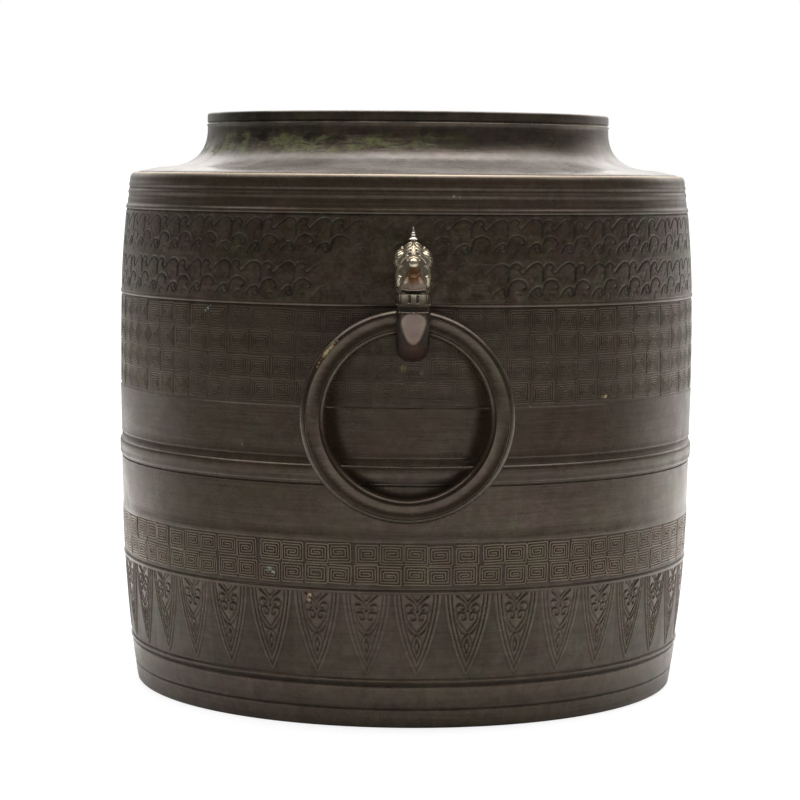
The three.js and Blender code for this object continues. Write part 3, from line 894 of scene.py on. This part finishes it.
def finial_piece(name):
    """A turned spike: foot, collar, ball and point."""
    foot = HEAD_Z + HEAD_TOP + CLEARANCE
    outline = [(0, -4), (1.1, -4), (1.1, 0), (1.9, 0.1), (2.35, 0.35), (2.45, 0.6), (2.2, 0.95), (1.75, 1.3),
               (1.4, 1.45), (1.35, 1.8), (1.3, 2.4), (1.1, 2.6), (1.15, 2.9), (0.95, 3.5), (0.75, 3.7), (0.78, 4.0),
               (0.65, 4.6), (0.48, 5.1), (0.35, 5.6), (0.18, 6.0), (0, 6.2)]
    outline = [(radius, foot + height) for radius, height in outline]
    return capped(name, outline, 32, Matrix.Translation((0, -(PIVOT_OUT - SPIKE_IN) * MM, 0)))


# Rings

def ring_section():
    """(across, thick) of the bar, all the way round: beads at its edges, a hollow between."""
    face = [(RING_HALF_WIDTH, 0.6), (5.77, 1.45), (5.35, 2.25), (4.8, 2.9), (4.25, 3.35), (3.85, 3.45), (3.6, 3.3)]
    face += [(3.5, 3.3), (3.4, 4.1), (3.2, 4.45), (2.95, 4.5)]
    for step in range(1, 12):
        x = 2.95 - 5.9 * step / 12
        face.append((x, 4.5 - 0.75 * (1 - (x / 2.95) ** 2) ** 0.8))
    face += [(-across, thick) for across, thick in face[10::-1]]
    return face + [(-across, -thick) for across, thick in face]


def ring_piece(name):
    segments = 192
    section = np.array(ring_section())
    turn = turns(segments)
    radius = RING_MEAN + section[:, :1] + 0 * turn
    worn = 0.05 * np.sin(3 * turn + 0.4) + 0.03 * np.sin(7 * turn)
    radius = np.minimum(radius, radius + worn)
    thick = section[:, 1:] * (1 + 0.012 * np.sin(4 * turn + 1))
    points = np.stack([
        RING_SIDEWAYS + radius * np.sin(turn),
        -PIVOT_OUT + thick,
        PIVOT_Z - RING_MEAN + radius * np.cos(turn),
    ], -1)
    faces = grid_faces(len(section), segments, close_rows=True)
    return mesh_object(name, points.reshape(-1, 3), [f[::-1] for f in faces], 35)


# Rivets, roves and base plate

def lying(node):
    """Where a rivet or rove starts and ends, out from the pot's axis, and what lays an upright piece there."""
    low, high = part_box(node)
    placed = Matrix.Translation((0, 0, (low.z + high.z) / 2)) @ Matrix.Rotation(math.pi / 2, 4, "X")
    return -high.y / MM, -low.y / MM, placed


def rivet_piece(name, node):
    near, far, placed = lying(node)
    head = near + RIVET_HEAD_HEIGHT
    outline = [(0, near)] + arc(0, head, RIVET_HEAD_RADIUS, -RIVET_HEAD_HEIGHT, 8)[7::-1]
    outline += [(RIVET_HEAD_RADIUS - 0.1, head + 0.12), (RIVET_RADIUS, head + 0.12), (RIVET_RADIUS, far - 0.3),
                (RIVET_RADIUS - 0.3, far), (0, far)]
    return capped(name, outline, 32, placed)


def rove_piece(name, node):
    near, far, placed = lying(node)
    outline = [(ROVE_HOLE, far, 1), (ROVE_RADIUS, far, 1), (ROVE_RADIUS, near + 0.2, 1), (ROVE_RADIUS - 0.2, near, 1),
               (ROVE_HOLE + 0.1, near, 1), (ROVE_HOLE, near + 0.1, 1)]
    piece = revolved(name, outline, 32)
    piece.data.transform(placed)
    piece.data.flip_normals()
    return piece


def base_piece(name):
    low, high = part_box("base_plate")
    bottom, top, radius = low.z / MM, high.z / MM, high.x / MM
    outline = [(0, bottom), (radius - 20, bottom), (radius - 0.6, bottom), (radius, bottom + 0.5), (radius, top),
               (radius - 20, top), (0, top)]
    return capped(name, outline, 192, Matrix.Identity(4))


# Materials

class Nodes:
    """A short way to write the nodes of a material or world."""

    def __init__(self, owner):
        owner.use_nodes = True
        self.tree = owner.node_tree
        self.tree.nodes.clear()

    def new(self, kind, inputs=(), **settings):
        node = self.tree.nodes.new(kind)
        for key, value in settings.items():
            setattr(node, key, value)
        for key, value in dict(inputs).items():
            self.put(node.inputs[key], value)
        return node

    def put(self, socket, value):
        if isinstance(value, bpy.types.NodeSocket):
            self.tree.links.new(value, socket)
        else:
            socket.default_value = value

    def maths(self, operation, a, b, *more, clamp=False):
        result = self.new("ShaderNodeMath", {0: a, 1: b}, operation=operation, use_clamp=clamp).outputs[0]
        return self.maths(operation, result, *more, clamp=clamp) if more else result

    def times(self, *factors):
        return self.maths("MULTIPLY", *factors)

    def plus(self, *terms, clamp=False):
        return self.maths("ADD", *terms, clamp=clamp)

    def less(self, a, b, clamp=False):
        return self.maths("SUBTRACT", a, b, clamp=clamp)

    def most(self, *values):
        return self.maths("MAXIMUM", *values)

    def between(self, value, low, high, to_low=0.0, to_high=1.0):
        inputs = {"Value": value, "From Min": low, "From Max": high, "To Min": to_low, "To Max": to_high}
        return self.new("ShaderNodeMapRange", inputs, interpolation_type="SMOOTHSTEP").outputs["Result"]

    def window(self, value, start, full, fading, end):
        return self.times(self.between(value, start, full), self.between(value, end, fading))

    def blend(self, factor, a, b):
        node = self.new("ShaderNodeMix", data_type="RGBA")
        self.put(node.inputs[0], factor)
        self.put(node.inputs[6], a)
        self.put(node.inputs[7], b)
        return node.outputs[2]

    def noise(self, where, scale, detail=4.0, rough=0.55, distortion=0.0):
        inputs = {"Vector": where, "Scale": scale, "Detail": detail, "Roughness": rough, "Distortion": distortion}
        return self.new("ShaderNodeTexNoise", inputs, noise_dimensions="3D").outputs["Fac"]

    def stretched(self, where, x, y, z):
        return self.new("ShaderNodeMapping", {"Vector": where, "Scale": (x, y, z)}).outputs["Vector"]

    def axes(self, vector):
        return self.new("ShaderNodeSeparateXYZ", {"Vector": vector}).outputs[:]

    def point_value(self, name):
        return self.new("ShaderNodeAttribute", attribute_name=name, attribute_type="GEOMETRY").outputs["Fac"]


UMBER = (0.026, 0.0145, 0.0075, 1)
OLIVE = (0.028, 0.020, 0.0100, 1)
RUSSET = (0.046, 0.021, 0.0105, 1)
# Soot, also used to paint shade into grooves, creases and hollows
SOOT_AND_SHADE = (0.006, 0.004, 0.003, 1)
HAZE_AND_HIGHLIGHT = (0.085, 0.062, 0.043, 1)
DUST_AND_SHEEN = (0.206, 0.184, 0.168, 1)
VERDIGRIS = (0.125, 0.150, 0.046, 1)
BARE = (0.36, 0.27, 0.17, 1)
RUBBED_AND_HIGHLIGHT = (0.60, 0.52, 0.38, 1)
SILVER_AND_HIGHLIGHT = (0.66, 0.62, 0.55, 1)
PALE_DUST_AND_SHEEN = (0.40, 0.37, 0.35, 1)
FLECK = (0.34, 0.31, 0.25, 1)

# Heights on the shell, in metres. The plain bands start, are full, fade and end, the rest start and are full
LOWER_PLAIN = (0.092, 0.093, 0.118, 0.119)
UPPER_PLAIN = (0.131, 0.132, 0.155, 0.156)
SHOULDER_DUST_AND_SHEEN = (0.2655, 0.2665)
PALEST_DUST_AND_SHEEN = (0.2735, 0.2690)
NECK_GREEN = (0.2765, 0.2800)
NECK_SMOKE = (0.275, 0.283)
NECK_SHADE = (0.275, 0.279)

# Chips and stains seen on the wall: theta in degrees, height, radius in millimetres, colour
STAINS = [
    (-18.8, 64.2, 1.2, (0.36, 0.27, 0.18, 1)),
    (-18.9, 62.0, 1.2, (0.30, 0.19, 0.11, 1)),
    (-18.2, 60.4, 0.8, (0.20, 0.12, 0.07, 1)),
    (-18.4, 58.8, 1.1, (0.42, 0.32, 0.22, 1)),
    (-26.9, 75.8, 1.3, (0.16, 0.20, 0.13, 1)),
    (-26.2, 74.6, 0.9, (0.30, 0.31, 0.24, 1)),
    (-27.4, 74.9, 0.8, (0.10, 0.15, 0.09, 1)),
    (-41.6, 198.8, 0.8, (0.20, 0.22, 0.22, 1)),
    (-41.0, 200.0, 0.9, (0.24, 0.26, 0.26, 1)),
    (-40.4, 201.2, 0.7, (0.17, 0.20, 0.20, 1)),
    (38.4, 158.4, 0.9, (0.26, 0.21, 0.10, 1)),
    (39.2, 158.7, 1.0, (0.42, 0.35, 0.20, 1)),
    (-1.5, 174.0, 2.2, (0.085, 0.075, 0.030, 1)),
    (1.8, 171.5, 1.5, (0.080, 0.060, 0.030, 1)),
    (7.4, 254.9, 0.6, (0.16, 0.12, 0.08, 1)),
    (8.6, 254.3, 0.6, (0.14, 0.10, 0.07, 1)),
]
# Rubbed places on the front ring's outer bead: turn from the top in degrees, radius, colour
GILT = [
    (-61, 0.7, (0.22, 0.15, 0.07, 1)),
    (-58.5, 0.9, (0.26, 0.18, 0.08, 1)),
    (-56.5, 0.8, (0.30, 0.21, 0.10, 1)),
    (-54, 1.0, (0.34, 0.25, 0.12, 1)),
    (-52, 1.2, (0.48, 0.38, 0.20, 1)),
    (-50.2, 1.3, (0.55, 0.45, 0.26, 1)),
    (-48.4, 1.3, (0.50, 0.38, 0.20, 1)),
    (-46.6, 1.1, (0.42, 0.31, 0.15, 1)),
    (-44.8, 0.9, (0.36, 0.27, 0.14, 1)),
    (-42.8, 0.7, (0.30, 0.22, 0.11, 1)),
    (-39, 0.5, (0.40, 0.32, 0.18, 1)),
]
# Warm places on a lug's face, with a painted shadow under the trunk and painted reflection on its flat: how far out
# from the bar, up, radius, colour
LUG_TINTS_SHADOW_AND_REFLECTION = [
    # Dark reddish underside of the trunk: painted shadow
    (12.5, -17.5, 10.5, (0.030, 0.012, 0.008, 1)),
    (10.4, 16.4, 5.8, (0.300, 0.215, 0.180, 1)),
    (11.2, 21.2, 6.0, (0.110, 0.046, 0.014, 1)),
    # Pale patches down the flat: painted reflection
    (14.8, 0.8, 6.2, (0.128, 0.094, 0.084, 1)),
    (15.6, -3.2, 5.8, (0.132, 0.094, 0.084, 1)),
    (16.4, -7.2, 4.6, (0.120, 0.080, 0.072, 1)),
]
# Sooty patches on the neck: theta in degrees, height, radius
SOOTY = [(-48, 285.5, 4.5), (-44, 284.0, 4.0), (-39, 285.0, 3.0), (-46, 293.0, 3.0), (8, 287.0, 4.0), (3, 285.5, 3.0)]


def stains():
    return [(tuple(on_wall(np.radians(turn), np.float64(z), 0.0) * MM), radius, tint)
            for turn, z, radius, tint in STAINS]


def gilding():
    marks = []
    for turn, radius, tint in GILT:
        a = math.radians(turn)
        bead = RING_MEAN + 3.9
        place = (RING_SIDEWAYS + bead * math.sin(a), -PIVOT_OUT - 3.6, PIVOT_Z - RING_MEAN + bead * math.cos(a))
        marks.append((tuple(c * MM for c in place), radius, tint))
    return marks


def sooty():
    neck = NECK_RADIUS * MM
    return [((neck * math.sin(math.radians(turn)), -neck * math.cos(math.radians(turn)), z * MM), radius, SOOT_AND_SHADE)
            for turn, z, radius in SOOTY]


def lug_tints_shadow_and_reflection():
    """The warm places, painted shadow and painted reflection, on the front lug and on its copy."""
    return [((0, side * (PIVOT_OUT + out) * MM, (HEAD_Z + up) * MM), radius, tint)
            for side in (-1, 1) for out, up, radius, tint in LUG_TINTS_SHADOW_AND_REFLECTION]


def bronze(name, polish=0.0, green=0.35, lift=False, marks=(), shell=False, gloss=0.0, rubbed_highlight_and_shade=False, pale=0.0,
           grain=0.6):
    """Dark patinated bronze. polish bares the high places, green sets how much verdigris shows."""
    material = bpy.data.materials.new(name)
    n = Nodes(material)
    where = n.new("ShaderNodeTexCoord").outputs["Object"]
    x, _, z = n.axes(where)
    broad = n.noise(where, 14, 5, 0.6, 0.6)
    middle = n.noise(where, 55, 5, 0.6, 0.4)
    fine = n.noise(where, 420, 4, 0.6)
    streak = n.noise(n.stretched(where, 9, 9, 260), 3, 3, 0.6)
    colour = n.blend(n.between(broad, 0.42, 0.62), UMBER, OLIVE)
    colour = n.blend(n.times(n.between(middle, 0.52, 0.74), 0.5), colour, RUSSET)
    colour = n.blend(n.between(n.noise(where, 900, 3, 0.7), 0.45, 0.75, 0.0, 0.5), colour, SOOT_AND_SHADE)
    colour = n.blend(n.between(streak, 0.48, 0.68, 0.0, 0.25), colour, SOOT_AND_SHADE)
    colour = n.blend(n.between(n.noise(where, 27, 6, 0.65, 0.8), 0.52, 0.78, 0.0, 0.35), colour, HAZE_AND_HIGHLIGHT)

    # Dirt and painted shade lie low, bare metal shows on high places, and a painted highlight lies on the shoulder's
    # edge
    if lift:
        height = n.point_value("lift")
        # High places are lightened: wear and painted highlight
        colour = n.blend(n.between(height, 1.0, 1.25, 0.0, 0.4), colour, HAZE_AND_HIGHLIGHT)
        dirt_and_shade = n.between(height, 0.0, 0.9, 0.95, 0.0)
        bare_and_highlight = n.plus(n.times(n.between(fine, 0.55, 0.8), 0.03), n.between(height, 1.08, 1.3, 0.0, 0.3))
        # Painted highlight on the shoulder's edge, weaker to the left of the front and far to the right
        edge = n.times(n.between(height, 1.35, 1.6, 0.0, 0.55), n.between(x, -0.09, -0.05, 0.4, 1.0),
                       n.between(x, 0.05, 0.10, 1.0, 0.3))
        colour = n.blend(edge, colour, SILVER_AND_HIGHLIGHT)
        bare_and_highlight = n.plus(bare_and_highlight, edge)
    else:
        point = n.new("ShaderNodeNewGeometry").outputs["Pointiness"]
        bare_and_highlight = n.times(n.between(point, 0.51, 0.60), n.between(middle, 0.3, 0.7, 0.35, 1.0), 0.10 + 0.4 * polish)
        # Low pointiness, in creases and hollows, is darkened: dirt and painted shade
        dirt_and_shade = n.between(point, 0.485, 0.43, 0.0, 0.8)
    colour = n.blend(n.times(dirt_and_shade, 0.95), colour, SOOT_AND_SHADE)
    colour = n.blend(n.maths("MINIMUM", bare_and_highlight, 0.35), colour, BARE)

    # Dust and painted sheen on the shoulder, palest low on the sweep
    if shell:
        facing = n.axes(n.new("ShaderNodeNewGeometry").outputs["Normal"])[2]
        drawn = n.noise(n.stretched(where, 16, 60, 60), 1, 5, 0.65, 0.6)
        dust_and_sheen = n.times(n.between(facing, 0.45, 0.8), n.between(z, *SHOULDER_DUST_AND_SHEEN),
                        n.between(broad, 0.35, 0.65, 0.6, 1.0),
                        n.between(n.noise(where, 160, 5, 0.7), 0.3, 0.65, 0.7, 1.0),
                        n.between(drawn, 0.3, 0.65, 0.55, 1.0))
        colour = n.blend(dust_and_sheen, colour, DUST_AND_SHEEN)
        # Painted sheen low on the sweep, full just right of the front, weaker to the left and far to the right
        low = n.times(n.between(z, *PALEST_DUST_AND_SHEEN, 0.0, 0.75), dust_and_sheen, n.between(x, -0.07, 0.02, 0.4, 1.0),
                      n.between(x, 0.06, 0.10, 1.0, 0.2))
        colour = n.blend(low, colour, PALE_DUST_AND_SHEEN)
    if pale:
        bare_and_highlight = n.between(middle, 0.3, 0.6, 0.6 * pale, pale)
        colour = n.blend(bare_and_highlight, colour, SILVER_AND_HIGHLIGHT)
    if rubbed_highlight_and_shade:
        # The lug's worn value: below 0 soot and painted shade, above 0 rubbed metal and painted highlight
        rubbed_and_highlight = n.point_value("worn")
        grime_and_shade = n.between(rubbed_and_highlight, 0.0, -0.8)
        colour = n.blend(grime_and_shade, colour, SOOT_AND_SHADE)
        dirt_and_shade = n.most(dirt_and_shade, grime_and_shade)
        rubbed_and_highlight = n.times(n.most(rubbed_and_highlight, 0.0), n.between(n.noise(where, 260, 2, 0.5), 0.36, 0.6, 0.75, 1.0))
        colour = n.blend(rubbed_and_highlight, colour, RUBBED_AND_HIGHLIGHT)
        bare_and_highlight = n.most(bare_and_highlight, rubbed_and_highlight)

    # Verdigris, thickest round the neck
    crust = n.between(n.noise(where, 45, 7, 0.72, 1.2), 0.50, 0.66, 0.0, 0.12 * green)
    if shell:
        wavy = n.plus(z, n.times(middle, 0.006))
        high = n.times(n.between(wavy, *NECK_GREEN), n.between(wavy, 0.2900, 0.2855, 0.12, 1.0))
        patchy = n.between(n.noise(n.stretched(where, 0.5, 0.8, 1.8), 110, 7, 0.72, 0.5), 0.38, 0.64)
        crust = n.most(crust, n.times(high, n.between(x, 0.035, -0.02, 0.14, 1.0), patchy))
        smoky = n.between(n.noise(n.stretched(where, 1, 1, 1.6), 38, 5, 0.6, 0.5), 0.44, 0.6, 0.1, 0.9)
        colour = n.blend(n.times(smoky, n.between(z, *NECK_SMOKE)), colour, SOOT_AND_SHADE)
    bloom = n.between(n.noise(where, 75, 6, 0.7, 0.5), 0.62, 0.76)
    verdant = n.most(crust, n.times(bloom, 0.3 * green))
    speck = n.between(n.noise(where, 160, 5, 0.7, 0.3), 0.38, 0.62)
    colour = n.blend(verdant, colour, n.blend(speck, OLIVE, VERDIGRIS))
    cells = n.new("ShaderNodeTexVoronoi", {"Vector": where, "Scale": 45.0}, feature="F1").outputs["Distance"]
    colour = n.blend(n.between(cells, 0.016, 0.008), colour, FLECK)
    for place, radius, tint in marks:
        gap = n.new("ShaderNodeVectorMath", {0: where, 1: place}, operation="DISTANCE").outputs["Value"]
        ragged = n.less(n.times(fine, 0.004), 0.002)
        near = n.between(n.plus(gap, ragged), radius * MM, 0.4 * radius * MM)
        if rubbed_highlight_and_shade and tint[0] > 0.05:
            near = n.times(near, n.between(rubbed_and_highlight, 0.04, 0.16))
        colour = n.blend(near, colour, tint)

    # Gloss, duller in dirt and painted shade, and on the plain bands
    shine = n.between(middle, 0.3, 0.75, 0.25 - 0.05 * gloss, 0.36 - 0.08 * gloss)
    shine = n.plus(shine, n.times(verdant, 0.35), clamp=True)
    shine = n.plus(shine, n.times(dirt_and_shade, 0.25), clamp=True)
    mottled = n.noise(where, 170, 5, 0.7, 0.4)
    level = n.times(n.between(mottled, 0.3, 0.7, 0.5 - 0.22 * grain, 0.5 + 0.12 * grain * grain),
                    n.between(streak, 0.3, 0.7, 1.1, 0.92), n.less(1.0, n.times(dirt_and_shade, 0.5)))
    olive = (1.0 - 0.08 * grain, 0.86 + 0.03 * grain, 0.69 - 0.03 * grain, 1)
    film = n.blend(n.between(n.noise(where, 38, 5, 0.6, 0.7), 0.42, 0.60), (1.0, 0.81, 0.69, 1), olive)
    film = n.blend(n.between(n.noise(where, 90, 4, 0.6, 0.4), 0.50, 0.66), film, (1.0, 0.81 - 0.06 * grain, 0.70, 1))
    if shell:
        # The upper plain band reflects less to the right, the lower to the left, the neck on its left: painted shade
        upper = n.times(n.window(z, *UPPER_PLAIN), n.between(x, -0.02, 0.09, 0.28, 0.48))
        lower = n.times(n.window(z, *LOWER_PLAIN), n.between(x, -0.09, -0.02, 0.34, 0.16))
        shaded = n.times(n.between(z, *NECK_SHADE), n.between(x, -0.05, -0.08, 0.0, 0.4))
        level = n.times(level, n.less(1.0, n.most(upper, lower, shaded)))
        film = n.blend(dust_and_sheen, film, (1.0, 0.96, 0.93, 1))
    relief = n.plus(n.times(middle, 0.5), n.times(fine, 0.2 + 0.3 * grain), n.times(mottled, 0.5 * grain),
                    n.times(streak, 0.35), n.times(verdant, 0.6))
    bump = n.new("ShaderNodeBump", {"Strength": 0.5, "Distance": 0.00035, "Height": relief}).outputs["Normal"]
    metal = n.less(n.plus(n.times(bare_and_highlight, 0.7), 0.2 + 0.3 * polish, clamp=True), n.times(verdant, 0.35), clamp=True)
    shader = n.new("ShaderNodeBsdfPrincipled", {
        "Base Color": colour, "Roughness": shine, "Metallic": metal, "Normal": bump,
        "Specular IOR Level": level, "Specular Tint": film, "IOR": 1.8})
    n.new("ShaderNodeOutputMaterial", {"Surface": shader.outputs[0]})
    return material


# Stage, light and camera

def make_floor():
    """A white floor to the camera that keeps the shadow. To the pot it is grey, and brighter behind it."""
    size = 80
    corners = [(-size, -size, 0), (size, -size, 0), (size, size, 0), (-size, size, 0)]
    floor = plain_object("floor", corners, [(0, 1, 2, 3)])
    floor.location.z = -0.0001
    material = bpy.data.materials.new("floor_white")
    n = Nodes(material)
    rays = n.new("ShaderNodeLightPath").outputs
    place = n.new("ShaderNodeNewGeometry").outputs["Position"]
    x, y, _ = n.axes(place)
    reach = n.new("ShaderNodeVectorMath", {0: place}, operation="LENGTH").outputs["Value"]
    left = n.between(x, -1.2, -0.3, 0.6, 1.0)
    grey = n.times(n.between(reach, 0.45, 1.5, 0.80, 0.34), left)
    behind = n.times(n.between(y, -0.05, 0.4, 0.0, 0.92), n.between(y, 0.6, 2.5, 1.0, 0.5))
    beside = n.times(n.between(x, 0.1, 0.25, 0.0, 0.30), n.between(x, 0.75, 0.35))
    sheen = n.times(n.most(behind, beside), left, rays["Is Glossy Ray"])

    def glowing(tint, strength):
        plain = n.new("ShaderNodeBsdfDiffuse", {"Color": tint}).outputs[0]
        glow = n.new("ShaderNodeEmission", {"Color": (1, 1, 1, 1), "Strength": strength}).outputs[0]
        return n.new("ShaderNodeAddShader", {0: plain, 1: glow}).outputs[0]

    to_pot, to_camera = glowing(grey, sheen), glowing((0.32, 0.32, 0.32, 1), 0.78)
    mixed = n.new("ShaderNodeMixShader", {0: rays["Is Camera Ray"], 1: to_pot, 2: to_camera}).outputs[0]
    n.new("ShaderNodeOutputMaterial", {"Surface": mixed})
    floor.data.materials.append(material)


def make_world():
    """White to the camera. A bright ceiling and a pale backdrop light the pot, the front stays dim."""
    world = bpy.data.worlds.new("studio")
    bpy.context.scene.world = world
    n = Nodes(world)
    rays = n.new("ShaderNodeLightPath").outputs
    x, y, z = n.axes(n.new("ShaderNodeTexCoord").outputs["Generated"])
    room = n.plus(0.155, n.between(x, 0.2, 0.95, 0.0, 0.05),
                  n.times(n.between(z, 0.25, 0.85, 0.0, 0.32), n.between(x, -0.5, 0.2)))
    rising = n.times(n.between(z, 0.0, 0.40, 0.7, 2.5), n.between(x, -0.85, 0.0, 0.5, 1.0))
    backdrop = n.times(n.between(y, 0.2, 0.9), rising)
    ceiling = n.times(n.between(z, 0.5, 0.8, 0.0, 2.7), n.between(y, -0.52, 0.02))
    strength = n.most(room, n.most(backdrop, ceiling), rays["Is Camera Ray"])
    background = n.new("ShaderNodeBackground", {"Color": (1, 1, 1, 1), "Strength": strength}).outputs[0]
    n.new("ShaderNodeOutputWorld", {"Surface": background})


def make_lamp():
    """One wide soft lamp above."""
    lamp = bpy.data.lights.new("top", "AREA")
    lamp.shape = "RECTANGLE"
    lamp.size, lamp.size_y = 1.6, 1.2
    lamp.energy = 12
    holder = new_object("top", lamp)
    place, aim = Vector((0.15, -0.1, 1.9)), Vector((0, 0, 0.2))
    holder.location = place
    holder.rotation_mode = "QUATERNION"
    holder.rotation_quaternion = (aim - place).to_track_quat("-Z", "Y")


def make_camera():
    """The photograph's viewpoint, worked out from the ellipses of the lip, bands and foot."""
    distance, height = 1.350, 0.2655
    azimuth, yaw, pitch, roll = (math.radians(a) for a in (-1.1, 0.126, 5.063, 0.50))
    place = Vector((distance * math.sin(azimuth), -distance * math.cos(azimuth), height))
    heading = azimuth + yaw
    forward = Vector((-math.sin(heading) * math.cos(pitch), math.cos(heading) * math.cos(pitch), -math.sin(pitch)))
    right = forward.cross(Vector((0, 0, 1))).normalized()
    up = right.cross(forward)
    turned_right = right * math.cos(roll) + up * math.sin(roll)
    turned_up = up * math.cos(roll) - right * math.sin(roll)
    camera_data = bpy.data.cameras.new("camera")
    camera_data.sensor_width = 36
    camera_data.lens = 115.0
    camera_data.clip_start = 0.05
    camera = new_object("camera", camera_data)
    basis = Matrix((turned_right, turned_up, -forward)).transposed().to_4x4()
    camera.matrix_world = Matrix.Translation(place) @ basis
    bpy.context.scene.camera = camera


# Assembly

def upper_wear(theta, z):
    """How crisp the upper fret is: most rubbed behind the front ring."""
    return 0.76 - 0.3 * math.exp(-((from_front(theta) + 4) / 17) ** 2) + 0.1 * math.sin(9 * theta + z / 7)


def lower_wear(theta, z):
    return 0.94 + 0.06 * math.sin(8 * theta + z / 5)


def at_both_sides(pieces):
    """Dresses pieces of the front and their copies at the back. {} in a body or node stands for the side."""
    copies = [turned_copy(piece, back_name) for piece, back_name, *_ in pieces]
    for (piece, _, body, slot, skin, node), copy in zip(pieces, copies):
        for side, owner in (("front", piece), ("back", copy)):
            dressed(owner, body.format(side), slot, skin, node.format(side))


wall_bronze = bronze("wall_bronze", lift=True, marks=stains())
wave_bronze = bronze("wave_bronze", green=0.6, lift=True, marks=stains(), grain=1.3)
shell_bronze = bronze("shell_bronze", lift=True, marks=stains() + sooty(), shell=True)
lug_bronze = bronze("lug_bronze", polish=0.6, green=0.1, marks=lug_tints_shadow_and_reflection(), gloss=1.4, rubbed_highlight_and_shade=True)
ring_bronze = bronze("ring_bronze", polish=0.15, green=0.1, gloss=0.8, marks=gilding())
bright_bronze = bronze("bright_bronze", polish=1.0, green=0.05, gloss=1.2, pale=0.9)
base_bronze = bronze("base_bronze", green=0.6)

PATINA, BRIGHT = "patinated_bronze", "bright_bronze"
shell = revolved("pot_shell", outer_outline() + inner_outline(), 360, with_drift=True)
dressed(shell, "pot", PATINA, shell_bronze, "pot_foot", "pot_wall", "pot_neck")

half_wave = UPPER_FRET_TOP + 1 + WAVE_HEIGHT
half_blade = (FOOT_TOP + BLADE_TOP) / 2
# Columns of points, what to cut, the deepest cut and how dark its grooves are made, by dirt and painted shade
waves = (WAVE_UNITS * 38, wave_depth(), WAVE_DEPTH, 2.0)
blades = (BLADE_UNITS * 48, blade_depth(), BLADE_DEPTH, 0.85)
for name, bottom, top, cutting, skin in (
        ("wave_band_lower", UPPER_FRET_TOP + 0.7, half_wave, waves, wave_bronze),
        ("wave_band_upper", half_wave, WAVE_TOP - 0.7, waves, wave_bronze),
        ("blade_band_lower", FOOT_BEAD + 0.7, half_blade, blades, wall_bronze),
        ("blade_band_upper", half_blade, BLADE_TOP - 0.7, blades, wall_bronze)):
    dressed(carved_sheet(name, bottom, top, *cutting), "pot", PATINA, skin)
upper_fret = fret_band("fret_band_upper", UPPER_FRET_BOTTOM + 1.2, UPPER_FRET_TOP - 2.0, 4, UPPER_FRET_COLUMNS,
                       math.radians(0.5), 11, 1.12, upper_wear, 0.16)
lower_fret = fret_band("fret_band_lower", BLADE_TOP + 2.9, LOWER_FRET_TOP - 0.8, 2, LOWER_FRET_COLUMNS,
                       math.radians(1.1), 12, 1.27, lower_wear, 0.1)
dressed(upper_fret, "pot", PATINA, wall_bronze)
dressed(lower_fret, "pot", PATINA, wall_bronze)

at_both_sides([
    (lug_piece("lug_front"), "lug_back", "pot", PATINA, lug_bronze, "{}_lug"),
    (finial_piece("finial_front"), "finial_back", "pot", BRIGHT, bright_bronze, "{}_lug_finial"),
    (ring_piece("ring_front_moulded"), "ring_back_moulded", "ring_{}", PATINA, ring_bronze, "{}_ring"),
])
for level in ("upper", "lower"):
    at_both_sides([
        (build(f"{kind}_front_{level}", f"front_{level}_{kind}"), f"{kind}_back_{level}", "pot", BRIGHT,
         bright_bronze, "{}_" + f"{level}_{kind}")
        for kind, build in (("rivet", rivet_piece), ("rove", rove_piece))
    ])
dressed(base_piece("base_disc"), "pot", PATINA, base_bronze, "base_plate")

bpy.context.scene.view_settings.view_transform = "Standard"
make_floor()
make_world()
make_lamp()
make_camera()
